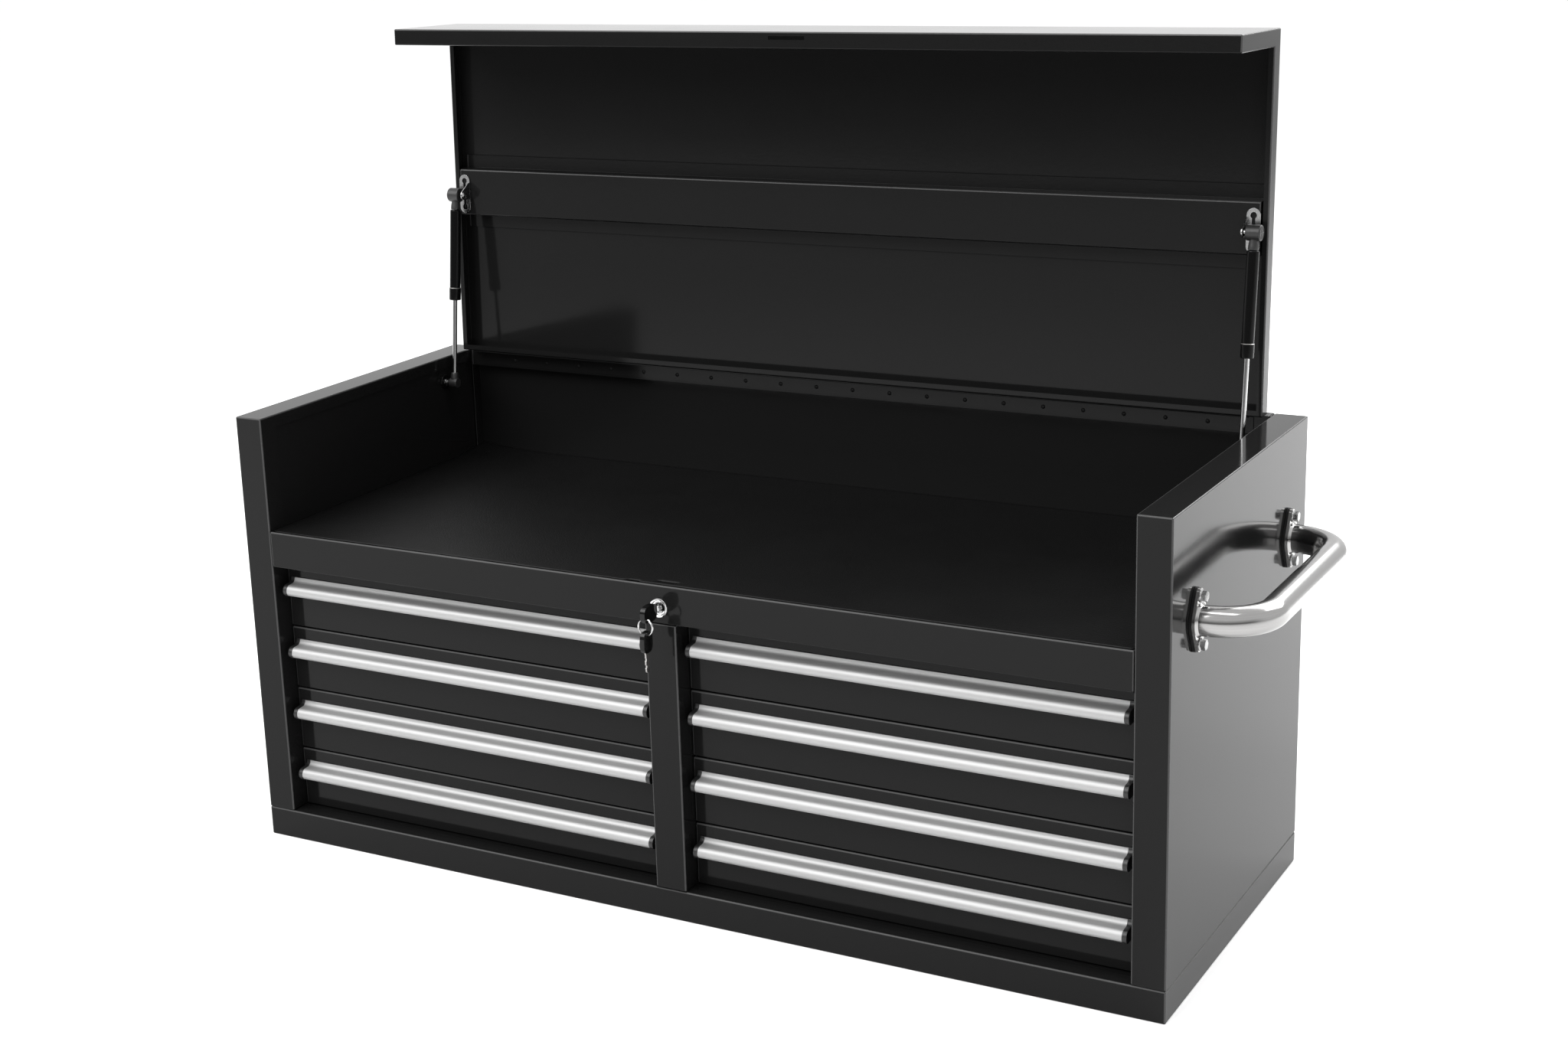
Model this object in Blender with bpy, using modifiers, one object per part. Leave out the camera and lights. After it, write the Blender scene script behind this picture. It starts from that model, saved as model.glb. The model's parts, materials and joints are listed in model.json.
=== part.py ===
"""Top tool chest: eight drawers under a mat-lined well, closed by a lid on two gas struts.

Metres, X to the right, Y to the back, Z up. The origin is the middle of the underside.
The lid stands open, at its stop; everything that swings with it hangs on one empty.
"""

import math

import bmesh
import bpy
from mathutils import Matrix, Vector

# Overall size of the body, without the side handle.
WIDTH = 1.170
DEPTH = 0.4542
HEIGHT = 0.5394

# Sheet steel, and the gap left between pieces that touch.
SHEET = 0.0012
GAP = 0.0003

# How squarely a face looks one way, and how near two points lie to be welded into one.
SQUARE_ON = 0.9
WELD = 0.00001

# Body.
BASE_HEIGHT = 0.0365
BASE_LEDGE = 0.040
WALL_WIDTH = 0.0377
WALL_TOP_RETURN = 0.0157
WALL_FRONT_RETURN = 0.0286
LINER_SETBACK = 0.0015
LINER_MARGIN = 0.0010
BACK_RETURN = 0.0171
HEADER_BOTTOM = 0.3551
HEADER_TOP = 0.3993
HEADER_HEM = 0.0035
HEADER_FOOT = 0.020
TRAY_TOP = 0.3975
TRAY_FLANGE = 0.015
TRAY_HALF = 0.5455
MAT_THICKNESS = 0.0022
MAT_FRONT_SETBACK = 0.0043
TRAY_SLOT_MARGIN = 0.0008
MAT_SLOT_MARGIN = 0.0012
SLOT_CUT = 0.0060
POST_HALF = 0.0195
PARTITION_HALF = 0.0179
PARTITION_ABOVE_POST = 0.020

# Drawers, counted from the top, in a left and a right bay.
DRAWER_ROWS = 4
DRAWER_PITCH = 0.0798
DRAWER_TOP = 0.3518
DRAWER_SEAM = 0.0016
DRAWER_FACE_SETBACK = 0.0258
DRAWER_SIDE_GAP = 0.001
DRAWER_FRONT_DEPTH = 0.012
BOX_HALF = 0.2499
BOX_LENGTH = 0.392
BOX_BELOW_TOP = 0.012
BOX_ABOVE_BOTTOM = 0.006
BOX_SHEET = 0.0010

# Ball slides: the drawer's member runs inside the rack's channel.
SLIDE_START = 0.016
SLIDE_END = 0.388
SLIDE_BELOW_TOP = 0.045
MEMBER_HALF = 0.012
MEMBER_REACH = 0.2600
CHANNEL_HALF = 0.0175
CHANNEL_FACE = 0.2520
CHANNEL_BACK = 0.2640
UPRIGHT_BACK = 0.2651
UPRIGHT_HALF = 0.014
UPRIGHT_PLACES = (0.050, 0.340)

# Drawer pulls: an ogee section with a flat leg on the drawer, and a cap on each end.
PULL_BELOW_TOP = 0.0150
PULL_HALF = 0.2515
PULL_DROP = 0.0203
PULL_WALL = 0.0018
PULL_LEG = 0.0016
COVE_RADIUS = 0.0063
NOSE_RADIUS = 0.0070
NOSE_CENTRE = (0.0122, 0.0136)
CAP_LENGTH = 0.0055
CAP_MARGIN = 0.0006
CAP_LAP = 0.0002

# Lid, measured closed from its hinge axis.
LID_OPEN_DEGREES = 91.7
HINGE_Y = 0.2076
HINGE_Z = HEIGHT
LID_HALF = 0.544
LID_LENGTH = 0.4287
LID_FRONT_DEPTH = 0.1357
LID_FLANGE = 0.0196
LID_RETURN = 0.007
HINGE_CLEARANCE = 0.0024
LATCH_SLOT_CENTRE = 0.0114
LATCH_SLOT_LENGTH = 0.0465
LATCH_SLOT_WIDTH = 0.0042
LATCH_SLOT_FROM_FRONT = 0.0071
LATCH_CUT = 0.004

# Hat-section stiffener across the lid: its edges are distances from the hinge axis.
HAT_EDGES = (0.1660, 0.1812, 0.1840, 0.2425, 0.2440, 0.2600)
HAT_DEPTH = 0.0205
HAT_HALF = 0.5350

# Piano hinge.
KNUCKLE_RADIUS = 0.0021
KNUCKLE_BORE = 0.0012
PIN_RADIUS = 0.0011
LEAF_INNER = 0.0011
LEAF_WIDTH = 0.0190
KNUCKLES = 11
KNUCKLE_LENGTH = 0.0960
KNUCKLE_GAP = 0.0005
KNUCKLE_ROOT = 0.001
LEAF_BELOW_KNUCKLE = 0.0006
BORE_OVERRUN = 0.01
RAIL_DROP = 0.0219

# Gas struts: ball centres, the lower one on the liner and the upper one on the lid.
STRUT_X = 0.533
LOWER_BALL_Y = 0.1493
LOWER_BALL_Z = 0.5060
UPPER_BALL_FROM_HINGE = 0.2108
UPPER_BALL_DEPTH = 0.0355
SOCKET_TOP_RADIUS = 0.009
SOCKET_TOP_LENGTH = 0.019
CYLINDER_RADIUS = 0.007
CYLINDER_LENGTH = 0.1186
COLLAR_RADIUS = 0.0076
COLLAR_LENGTH = 0.016
CYLINDER_BORE = 0.0035
CYLINDER_BORE_DEPTH = 0.1150
ROD_RADIUS = 0.003
ROD_INSERTED = 0.018
ROD_TIP_EASE = 0.0005
SOCKET_LOW_RADIUS = 0.0065
SOCKET_LOW_LENGTH = 0.0135
SOCKET_LOW_TAIL = 0.006
SOCKET_SHOULDER = 0.0015
SOCKET_CHAMFER = 0.002
SMALL_CHAMFER = 0.001
BALL_RADIUS = 0.0045
BALL_SEAT_RADIUS = 0.0050
BALL_SEAT_LENGTH = 0.020
STUD_RADIUS = 0.003
WASHER_RADIUS = 0.010
WASHER_THICKNESS = 0.002

# Upper strut bracket: a plate on the stiffener with an arm that carries the stud.
BRACKET_NEAR = 0.1860
BRACKET_FAR = 0.2360
BRACKET_INBOARD = 0.5195
BRACKET_OUTBOARD = 0.5355
BRACKET_SHEET = 0.0015
BRACKET_ARM_RADIUS = 0.008
KEYHOLE_RADIUS = 0.0032
KEYHOLE_INSET = 0.0085
KEYHOLE_CUT = 0.006
BRACKET_ARM_FOOT_HALF = 0.016
STUD_HEAD_PROUD = 0.0025

# Lock.
LOCK_Z = 0.374
BEZEL_RADIUS = 0.0113
BEZEL_PROUD = 0.0030
BEZEL_CHAMFER = 0.0012
BEZEL_EDGE = 0.0015
BORE_CHAMFER = 0.0008
BARREL_RADIUS = 0.0095
BARREL_END = 0.0220
PLUG_RADIUS = 0.0060
PLUG_BORE = 0.0063
PLUG_RECESS = 0.0016
KEYWAY_OVERRUN = 0.001
LOCK_HOLE_CUT = 0.005
LOCK_HOLE_LENGTH = 0.012
CAM_THICKNESS = 0.0016
CAM_LENGTH = 0.020
CAM_HALF = 0.0055
TONGUE_LEFT = -0.0085
TONGUE_RIGHT = 0.0160
TONGUE_THICKNESS = 0.0020
TONGUE_BOTTOM = 0.3855
TONGUE_TOP = 0.3945
BAR_BOTTOM = 0.3460
BAR_TOP = 0.3725
BAR_LEG_LEFT = 0.0103
BAR_FOOT = 0.3575

# Keys: one in the lock, one hanging on the ring.
KEY_HEAD_NEAR = 0.0050
KEY_HEAD_LENGTH = 0.0300
KEY_HEAD_HEIGHT = 0.0210
KEY_HEAD_THICKNESS = 0.0070
BLADE_THICKNESS = 0.0020
BLADE_HALF = 0.0036
BLADE_INSERTED = 0.0170
KEY_HOLE_RADIUS = 0.0022
KEY_HOLE_INSET = 0.0060
KEY_HOLE_CUT = 0.010
BLADE_LAP = 0.004
SPARE_HOLE_INSET = 0.0045
RING_RADIUS = 0.0092
RING_WIRE = 0.0006
SPARE_HEAD_LENGTH = 0.0245
SPARE_HEAD_HALF = 0.0093
SPARE_BLADE_LENGTH = 0.0240

# Side handle.
HANDLE_Z = 0.4160
HANDLE_HALF_SPAN = 0.1575
HANDLE_REACH = 0.0647
HANDLE_TUBE_RADIUS = 0.0160
HANDLE_TUBE_WALL = 0.0015
HANDLE_BEND = 0.0550
HANDLE_BEND_STEPS = 5
FLANGE_MIDDLE_RADIUS = 0.0195
FLANGE_END_RADIUS = 0.0080
FLANGE_THICKNESS = 0.0030
FLANGE_STEPS = 36
GASKET_THICKNESS = 0.0025
GASKET_MARGIN = 0.0008
BOLT_SPACING = 0.0510
BOLT_RADIUS = 0.0030
BOLT_HOLE_RADIUS = 0.0034
BOLT_WASHER_RADIUS = 0.0068
BOLT_WASHER_THICKNESS = 0.0014
BOLT_HEAD_RADIUS = 0.0058
BOLT_HEAD_HEIGHT = 0.0052
BOLT_TAIL = 0.0160
BOLT_CUT_START = 0.010
BOLT_CUT_LENGTH = 0.025
BOLT_LAP = 0.001
TUBE_BORE_CUT = 0.012

# Worked out from the above.
HALF_WIDTH = WIDTH / 2
HALF_DEPTH = DEPTH / 2
INNER_X = HALF_WIDTH - WALL_WIDTH
LINER_X = INNER_X + LINER_SETBACK
BODY_FLOOR = BASE_HEIGHT + GAP
DRAWER_FACE_Y = -HALF_DEPTH + DRAWER_FACE_SETBACK
BAY_CENTRE = (INNER_X + POST_HALF) / 2
DRAWER_HALF = (INNER_X - POST_HALF) / 2 - DRAWER_SIDE_GAP
FLANGE_FACE_X = HALF_WIDTH + GAP + GASKET_THICKNESS + GAP
SIDES = {"left": -1, "right": 1}

# Finishes: colour, roughness and how metallic it is.
BLACK_PAINT = ((0.020, 0.020, 0.021), 0.30, 0.0)
BLACK_RUBBER = ((0.015, 0.015, 0.015), 0.85, 0.0)
BLACK_PLASTIC = ((0.012, 0.012, 0.012), 0.45, 0.0)
ANODISED = ((0.72, 0.72, 0.73), 0.35, 1.0)
STAINLESS = ((0.62, 0.61, 0.60), 0.22, 1.0)
ZINC = ((0.60, 0.60, 0.62), 0.30, 1.0)
CHROME = ((0.80, 0.80, 0.81), 0.10, 1.0)

X_AXIS = Vector((1, 0, 0))
Y_AXIS = Vector((0, 1, 0))
Z_AXIS = Vector((0, 0, 1))


def clear_scene():
    for obj in list(bpy.data.objects):
        bpy.data.objects.remove(obj, do_unlink=True)


def add_collection(name, helper=False):
    collection = bpy.data.collections.new(name)
    collection.hide_render = helper
    bpy.context.scene.collection.children.link(collection)
    return collection


def add_material(name, finish):
    colour, roughness, metallic = finish
    material = bpy.data.materials.new(name)
    material.use_nodes = True
    shader = material.node_tree.nodes["Principled BSDF"]
    shader.inputs["Base Color"].default_value = (*colour, 1.0)
    shader.inputs["Roughness"].default_value = roughness
    shader.inputs["Metallic"].default_value = metallic
    return material


def mesh_from(name, bm):
    mesh = bpy.data.meshes.new(name)
    bm.to_mesh(mesh)
    bm.free()
    return mesh


def add_part(name, data, finish, at=(0, 0, 0), turn=None, parent=None):
    """Puts a mesh or curve in the chest's collection, with a material of its own."""
    obj = bpy.data.objects.new(name, data)
    if len(data.materials) == 0:
        data.materials.append(None)
    PARTS.objects.link(obj)
    obj.material_slots[0].link = "OBJECT"
    obj.material_slots[0].material = add_material(name, finish)
    obj.location = at
    if turn is not None:
        obj.rotation_mode = "QUATERNION"
        obj.rotation_quaternion = turn
    obj.parent = parent
    return obj


def add_helper(name, data, at=(0, 0, 0), turn=None, parent=None):
    """A shape that only joins or cuts another."""
    obj = bpy.data.objects.new(name, data)
    HELPERS.objects.link(obj)
    obj.display_type = "WIRE"
    obj.hide_render = True
    obj.location = at
    if turn is not None:
        obj.rotation_mode = "QUATERNION"
        obj.rotation_quaternion = turn
    obj.parent = parent
    return obj


def combine(target, helper, operation):
    modifier = target.modifiers.new(f"{operation.lower()} {helper.name}", "BOOLEAN")
    modifier.operation = operation
    modifier.solver = "EXACT"
    modifier.object = helper


def join(target, helper):
    combine(target, helper, "UNION")


def cut(target, helper):
    combine(target, helper, "DIFFERENCE")


def solidify(obj, thickness=SHEET):
    """Gives an open surface its sheet thickness, inwards from the faces."""
    modifier = obj.modifiers.new("sheet", "SOLIDIFY")
    modifier.thickness = thickness
    modifier.offset = -1
    modifier.use_even_offset = True


def baked_mesh(obj, weld=1e-5):
    """The object's evaluated mesh in its own space, with the caps welded on; the object goes."""
    bpy.context.view_layer.update()
    graph = bpy.context.evaluated_depsgraph_get()
    mesh = bpy.data.meshes.new_from_object(obj.evaluated_get(graph))
    bm = bmesh.new()
    bm.from_mesh(mesh)
    bmesh.ops.remove_doubles(bm, verts=bm.verts, dist=weld)
    bm.to_mesh(mesh)
    bm.free()
    bpy.data.objects.remove(obj, do_unlink=True)
    return mesh


def smooth(obj, degrees=35):
    """Shades the round stretches smooth and keeps the real edges sharp."""
    obj.data.shade_smooth()
    obj.data.set_sharp_from_angle(angle=math.radians(degrees))
    return obj


def box_bmesh(low, high):
    """A box about the origin with the size that two corners give."""
    bm = bmesh.new()
    size = Vector(high) - Vector(low)
    bmesh.ops.create_cube(bm, size=1.0, matrix=Matrix.Diagonal((*size, 1)))
    return bm


def middle(low, high):
    return (Vector(low) + Vector(high)) / 2


def box_mesh(name, low, high):
    return mesh_from(name, box_bmesh(low, high))


def add_box(name, low, high, finish, parent=None):
    return add_part(name, box_mesh(name, low, high), finish, middle(low, high), parent=parent)


def helper_box(name, low, high, parent=None):
    return add_helper(name, box_mesh(name, low, high), middle(low, high), parent=parent)


def open_box_mesh(name, low, high, open_sides):
    """A box without the faces that look along the given directions."""
    bm = box_bmesh(low, high)
    bm.normal_update()
    gone = [face for face in bm.faces if any(face.normal.dot(Vector(d)) > SQUARE_ON for d in open_sides)]
    bmesh.ops.delete(bm, geom=gone, context="FACES")
    return mesh_from(name, bm)


def add_pan(name, low, high, open_sides, finish, parent=None):
    """A folded sheet in the shape of a box that lacks some sides."""
    mesh = open_box_mesh(name, low, high, open_sides)
    pan = add_part(name, mesh, finish, middle(low, high), parent=parent)
    solidify(pan)
    return pan


def round_bar_mesh(name, radius, length, sides=24, direction=Z_AXIS):
    """A cylinder from the origin along a direction."""
    bm = bmesh.new()
    turn = Z_AXIS.rotation_difference(direction).to_matrix().to_4x4()
    place = turn @ Matrix.Translation((0, 0, length / 2))
    bmesh.ops.create_cone(
        bm, cap_ends=True, segments=sides, radius1=radius, radius2=radius, depth=length, matrix=place
    )
    return mesh_from(name, bm)


def helper_bar(name, radius, length, at, direction, sides=24, parent=None):
    return add_helper(name, round_bar_mesh(name, radius, length, sides, direction), at, parent=parent)


def outline_mesh(name, points, thickness):
    """A flat outline in X and Y, as thick as asked about its own plane."""
    curve = bpy.data.curves.new(name, "CURVE")
    curve.dimensions = "2D"
    curve.fill_mode = "BOTH"
    curve.extrude = thickness / 2
    spline = curve.splines.new("POLY")
    spline.points.add(len(points) - 1)
    for point, (across, up) in zip(spline.points, points):
        point.co = (across, up, 0, 1)
    spline.use_cyclic_u = True
    return baked_mesh(add_helper(name, curve))


def turned_mesh(name, profile, steps=32):
    """A profile of radius and height, run from the top down, turned about Z."""
    bm = bmesh.new()
    ring = [bm.verts.new((radius, 0, height)) for radius, height in profile]
    for first, second in zip(ring, ring[1:]):
        bm.edges.new((first, second))
    obj = add_helper(name, mesh_from(name, bm))
    screw = obj.modifiers.new("turn", "SCREW")
    screw.steps = steps
    screw.render_steps = steps
    screw.use_merge_vertices = True
    screw.merge_threshold = WELD
    screw.use_normal_calculate = False
    return baked_mesh(obj)


def tube_mesh(name, points, radius, resolution, closed=False, caps=True):
    curve = bpy.data.curves.new(name, "CURVE")
    curve.dimensions = "3D"
    curve.bevel_depth = radius
    curve.bevel_resolution = resolution
    curve.use_fill_caps = caps and not closed
    spline = curve.splines.new("POLY")
    spline.points.add(len(points) - 1)
    for point, place in zip(spline.points, points):
        point.co = (*place, 1)
    spline.use_cyclic_u = closed
    return baked_mesh(add_helper(name, curve))


def frame_of(x_way, y_way):
    """The turn that lays an outline's own X and Y along two directions."""
    x_way = Vector(x_way)
    y_way = Vector(y_way)
    return Matrix((x_way, y_way, x_way.cross(y_way))).transposed().to_quaternion()


# Body ---------------------------------------------------------------------------------------


def build_base_pan():
    low = (-HALF_WIDTH, -HALF_DEPTH, 0)
    high = (HALF_WIDTH, HALF_DEPTH, BASE_HEIGHT)
    bm = box_bmesh(low, high)
    bm.normal_update()
    top = [face for face in bm.faces if face.normal.z > SQUARE_ON]
    bmesh.ops.inset_individual(bm, faces=top, thickness=BASE_LEDGE, use_even_offset=True)
    bmesh.ops.delete(bm, geom=top, context="FACES_ONLY")
    pan = add_part("base_pan", mesh_from("base_pan", bm), BLACK_PAINT, middle(low, high))
    solidify(pan)


def build_side_panel(side, way):
    """The outer skin, folded inwards at the top, front, back and bottom."""
    name = f"{side}_side_panel"
    low = Vector((way * INNER_X, -HALF_DEPTH, BODY_FLOOR))
    high = Vector((way * HALF_WIDTH, HALF_DEPTH, HEIGHT))
    centre = middle(low, high)
    bm = box_bmesh((min(low.x, high.x), low.y, low.z), (max(low.x, high.x), high.y, high.z))
    return_top = HEIGHT - WALL_TOP_RETURN - centre.z
    return_front = -HALF_DEPTH + WALL_FRONT_RETURN - centre.y
    for place, normal in (((0, 0, return_top), Z_AXIS), ((0, return_front, 0), Y_AXIS)):
        whole = bm.verts[:] + bm.edges[:] + bm.faces[:]
        bmesh.ops.bisect_plane(bm, geom=whole, plane_co=place, plane_no=normal)
    bm.normal_update()
    opening = [
        face
        for face in bm.faces
        if face.normal.x * way < -SQUARE_ON
        and face.calc_center_median().z < return_top
        and face.calc_center_median().y > return_front
    ]
    bmesh.ops.delete(bm, geom=opening, context="FACES_ONLY")
    panel = add_part(name, mesh_from(name, bm), BLACK_PAINT, centre)
    solidify(panel)
    return panel


def build_liner(side, way):
    near = way * LINER_X
    far = way * (LINER_X + SHEET)
    inset = SHEET + LINER_MARGIN
    low = (min(near, far), -HALF_DEPTH + inset, BODY_FLOOR + inset)
    high = (max(near, far), HALF_DEPTH - inset, HEIGHT - inset)
    add_box(f"{side}_liner", low, high, BLACK_PAINT)


def build_back_panel():
    half = INNER_X - GAP
    low = (-half, HALF_DEPTH - BACK_RETURN, BODY_FLOOR)
    add_pan("back_panel", low, (half, HALF_DEPTH, HEIGHT), (-Y_AXIS, Z_AXIS, -Z_AXIS), BLACK_PAINT)


def build_hinge_rail():
    half = INNER_X - 2 * GAP - SHEET
    low = (-half, HINGE_Y + HINGE_CLEARANCE, HEIGHT - RAIL_DROP)
    high = (half, HALF_DEPTH - SHEET - GAP, HEIGHT)
    add_pan("hinge_rail", low, high, (-Z_AXIS, X_AXIS, -X_AXIS), BLACK_PAINT)


def tongue_slot(name, margin):
    """A cutter around the lock bar's tongue, through the tray or the mat."""
    reach = TONGUE_THICKNESS / 2 + margin
    low = (TONGUE_LEFT - margin, latch_y() - reach, TRAY_TOP - SLOT_CUT)
    high = (TONGUE_RIGHT + margin, latch_y() + reach, TRAY_TOP + SLOT_CUT)
    return helper_box(name, low, high)


def latch_y():
    """Where the slot in the closed lid's lip stands over the header."""
    return HINGE_Y - LID_LENGTH + LATCH_SLOT_FROM_FRONT


def build_tray():
    low = (-TRAY_HALF, -HALF_DEPTH + SHEET + GAP, TRAY_TOP - TRAY_FLANGE)
    high = (TRAY_HALF, HALF_DEPTH - SHEET - GAP, TRAY_TOP)
    tray = add_pan("tray_floor", low, high, (-Z_AXIS, -Y_AXIS), BLACK_PAINT)
    cut(tray, tongue_slot("tray_slot", TRAY_SLOT_MARGIN))
    mat_low = (-TRAY_HALF, -HALF_DEPTH + MAT_FRONT_SETBACK, TRAY_TOP + GAP)
    mat_high = (TRAY_HALF, HALF_DEPTH - SHEET - GAP, TRAY_TOP + GAP + MAT_THICKNESS)
    mat = add_box("tray_mat", mat_low, mat_high, BLACK_RUBBER)
    cut(mat, tongue_slot("mat_slot", MAT_SLOT_MARGIN))


def build_header():
    """The rail above the drawers: a short hem on top, a face, and a foot behind it."""
    half = INNER_X - GAP
    low = Vector((-half, -HALF_DEPTH, HEADER_BOTTOM))
    high = Vector((half, -HALF_DEPTH + HEADER_FOOT, HEADER_TOP))
    bm = box_bmesh(low, high)
    hem = HEADER_HEM - HEADER_FOOT / 2
    whole = bm.verts[:] + bm.edges[:] + bm.faces[:]
    bmesh.ops.bisect_plane(bm, geom=whole, plane_co=(0, hem, 0), plane_no=Y_AXIS)
    bm.normal_update()
    gone = [
        face
        for face in bm.faces
        if face.normal.y > SQUARE_ON
        or abs(face.normal.x) > SQUARE_ON
        or (face.normal.z > SQUARE_ON and face.calc_center_median().y > hem)
    ]
    bmesh.ops.delete(bm, geom=gone, context="FACES")
    header = add_part("header_rail", mesh_from("header_rail", bm), BLACK_PAINT, middle(low, high))
    solidify(header)
    lock_hole = (0, -HALF_DEPTH - LOCK_HOLE_CUT, LOCK_Z)
    radius = BARREL_RADIUS + GAP
    cut(header, helper_bar("lock_hole", radius, LOCK_HOLE_LENGTH, lock_hole, Y_AXIS, 32))


def build_centre():
    top = HEADER_BOTTOM - GAP
    post_back = -HALF_DEPTH + WALL_FRONT_RETURN
    ends = (Y_AXIS, Z_AXIS, -Z_AXIS)
    low = (-POST_HALF, -HALF_DEPTH, BODY_FLOOR)
    add_pan("centre_post", low, (POST_HALF, post_back, top), ends, BLACK_PAINT)
    low = (-PARTITION_HALF, post_back + GAP, BODY_FLOOR)
    high = (PARTITION_HALF, HALF_DEPTH - SHEET - GAP, HEADER_BOTTOM + PARTITION_ABOVE_POST)
    add_pan("centre_partition", low, high, ends, BLACK_PAINT)


# Drawers ------------------------------------------------------------------------------------


def drawer_mesh(front_height):
    """Front, box and slide members in one piece; its origin is the front's top edge."""
    front_low = (-DRAWER_HALF, 0, -front_height)
    front_high = (DRAWER_HALF, DRAWER_FRONT_DEPTH, 0)
    front = add_helper("front", open_box_mesh("front", front_low, front_high, (Y_AXIS,)))
    front.location = middle(front_low, front_high)
    solidify(front)

    box_low = (-BOX_HALF, SHEET / 2, -front_height + BOX_ABOVE_BOTTOM)
    box_high = (BOX_HALF, BOX_LENGTH, -BOX_BELOW_TOP)
    box = add_helper("box", open_box_mesh("box", box_low, box_high, (Z_AXIS,)))
    box.location = middle(box_low, box_high)
    solidify(box, BOX_SHEET)
    join(front, box)

    helpers = [box]
    for way in (-1, 1):
        near = way * (BOX_HALF - BOX_SHEET / 2)
        far = way * MEMBER_REACH
        low = (min(near, far), SLIDE_START, -SLIDE_BELOW_TOP - MEMBER_HALF)
        high = (max(near, far), SLIDE_END, -SLIDE_BELOW_TOP + MEMBER_HALF)
        member = add_helper("member", open_box_mesh("member", low, high, (way * X_AXIS,)))
        member.location = middle(low, high)
        solidify(member)
        join(front, member)
        helpers.append(member)

    offset = front.location.copy()
    mesh = baked_mesh(front)
    mesh.transform(Matrix.Translation(offset))
    for helper in helpers:
        bpy.data.objects.remove(helper, do_unlink=True)
    return mesh


def arc(centre, radius, first, last, steps):
    """Points along a circle's arc, from one angle in degrees to the other."""
    points = []
    for i in range(steps + 1):
        angle = math.radians(first + (last - first) * i / steps)
        points.append((centre[0] + radius * math.cos(angle), centre[1] + radius * math.sin(angle)))
    return points


def pull_outline(grow=0.0):
    """The ogee from the drawer's face to the foot of the nose: a cove, then a round nose.

    Distances are forward from the drawer's face and down from the pull's top edge.
    """
    cove = arc((PULL_LEG + COVE_RADIUS, -grow), COVE_RADIUS, 180, 97, 5)
    nose = arc(NOSE_CENTRE, NOSE_RADIUS + grow, -85, 72, 9)
    return cove + nose


def pull_inner_outline():
    """The underside of the ogee, one wall thickness in, from the nose's foot back to the leg."""
    nose = arc(NOSE_CENTRE, NOSE_RADIUS - PULL_WALL, 72, -85, 7)
    cove = arc((PULL_LEG + COVE_RADIUS, 0), COVE_RADIUS + PULL_WALL, 97, 141, 3)
    return nose + cove


def pull_mesh():
    """The hooked section with its leg and, on each end, a solid cap."""
    section = [(GAP, 0.0)] + pull_outline() + pull_inner_outline()
    section += [(PULL_LEG, PULL_DROP), (GAP, PULL_DROP)]
    turn = frame_of(-Y_AXIS, -Z_AXIS)
    body = add_helper("section", outline_mesh("section", section, 2 * PULL_HALF), turn=turn)

    foot = PULL_DROP + CAP_MARGIN
    cap_outline = [(GAP, -CAP_MARGIN)] + pull_outline(CAP_MARGIN) + [(PULL_LEG, foot), (GAP, foot)]
    caps = []
    for way in (-1, 1):
        mesh = outline_mesh("cap", cap_outline, CAP_LENGTH)
        at = (way * (PULL_HALF + CAP_LENGTH / 2 - CAP_LAP), 0, 0)
        caps.append(add_helper("cap", mesh, at, turn))
        join(body, caps[-1])
    mesh = baked_mesh(body)
    mesh.transform(turn.to_matrix().to_4x4())
    for cap in caps:
        bpy.data.objects.remove(cap, do_unlink=True)
    return mesh


def drawer_tops():
    return [DRAWER_TOP - row * DRAWER_PITCH for row in range(DRAWER_ROWS)]


def build_drawers():
    standard = DRAWER_PITCH - DRAWER_SEAM
    lowest = drawer_tops()[-1] - BASE_HEIGHT - DRAWER_SEAM
    meshes = {False: drawer_mesh(standard), True: drawer_mesh(lowest)}
    pull = pull_mesh()
    for side, way in SIDES.items():
        for row, top in enumerate(drawer_tops()):
            at = (way * BAY_CENTRE, DRAWER_FACE_Y, top)
            name = f"{side}_drawer_{row + 1}"
            drawer = add_part(name, meshes[row == DRAWER_ROWS - 1], BLACK_PAINT, at)
            at = (0, 0, -PULL_BELOW_TOP)
            smooth(add_part(f"{name}_pull", pull, ANODISED, at, parent=drawer), 25)


def rack_mesh(facing):
    """Four channels on two uprights; they open along X, towards the drawers."""
    back = facing * CHANNEL_BACK
    face = facing * CHANNEL_FACE
    wall = facing * UPRIGHT_BACK
    bottom = drawer_tops()[-1] - SLIDE_BELOW_TOP - CHANNEL_HALF
    top = drawer_tops()[0] - SLIDE_BELOW_TOP + CHANNEL_HALF
    helpers = []
    for place in UPRIGHT_PLACES:
        near = facing * (CHANNEL_BACK - SHEET / 2)
        low = (min(near, wall), place - UPRIGHT_HALF, bottom)
        high = (max(near, wall), place + UPRIGHT_HALF, top)
        helpers.append(helper_box("upright", low, high))
    for top_edge in drawer_tops():
        centre = top_edge - SLIDE_BELOW_TOP
        low = (min(back, face), SLIDE_START, centre - CHANNEL_HALF)
        high = (max(back, face), SLIDE_END, centre + CHANNEL_HALF)
        mesh = open_box_mesh("channel", low, high, (-facing * X_AXIS, Y_AXIS, -Y_AXIS))
        channel = add_helper("channel", mesh, middle(low, high))
        solidify(channel)
        helpers.append(channel)
    first = helpers.pop(0)
    offset = first.location.copy()
    for helper in helpers:
        join(first, helper)
    mesh = baked_mesh(first)
    mesh.transform(Matrix.Translation(offset))
    for helper in helpers:
        bpy.data.objects.remove(helper, do_unlink=True)
    return mesh


def build_racks():
    meshes = {facing: rack_mesh(facing) for facing in (-1, 1)}
    for side, way in SIDES.items():
        at = (way * BAY_CENTRE, DRAWER_FACE_Y, 0)
        add_part(f"{side}_outer_slide_rack", meshes[way], ZINC, at)
        add_part(f"{side}_inner_slide_rack", meshes[-way], ZINC, at)


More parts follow.
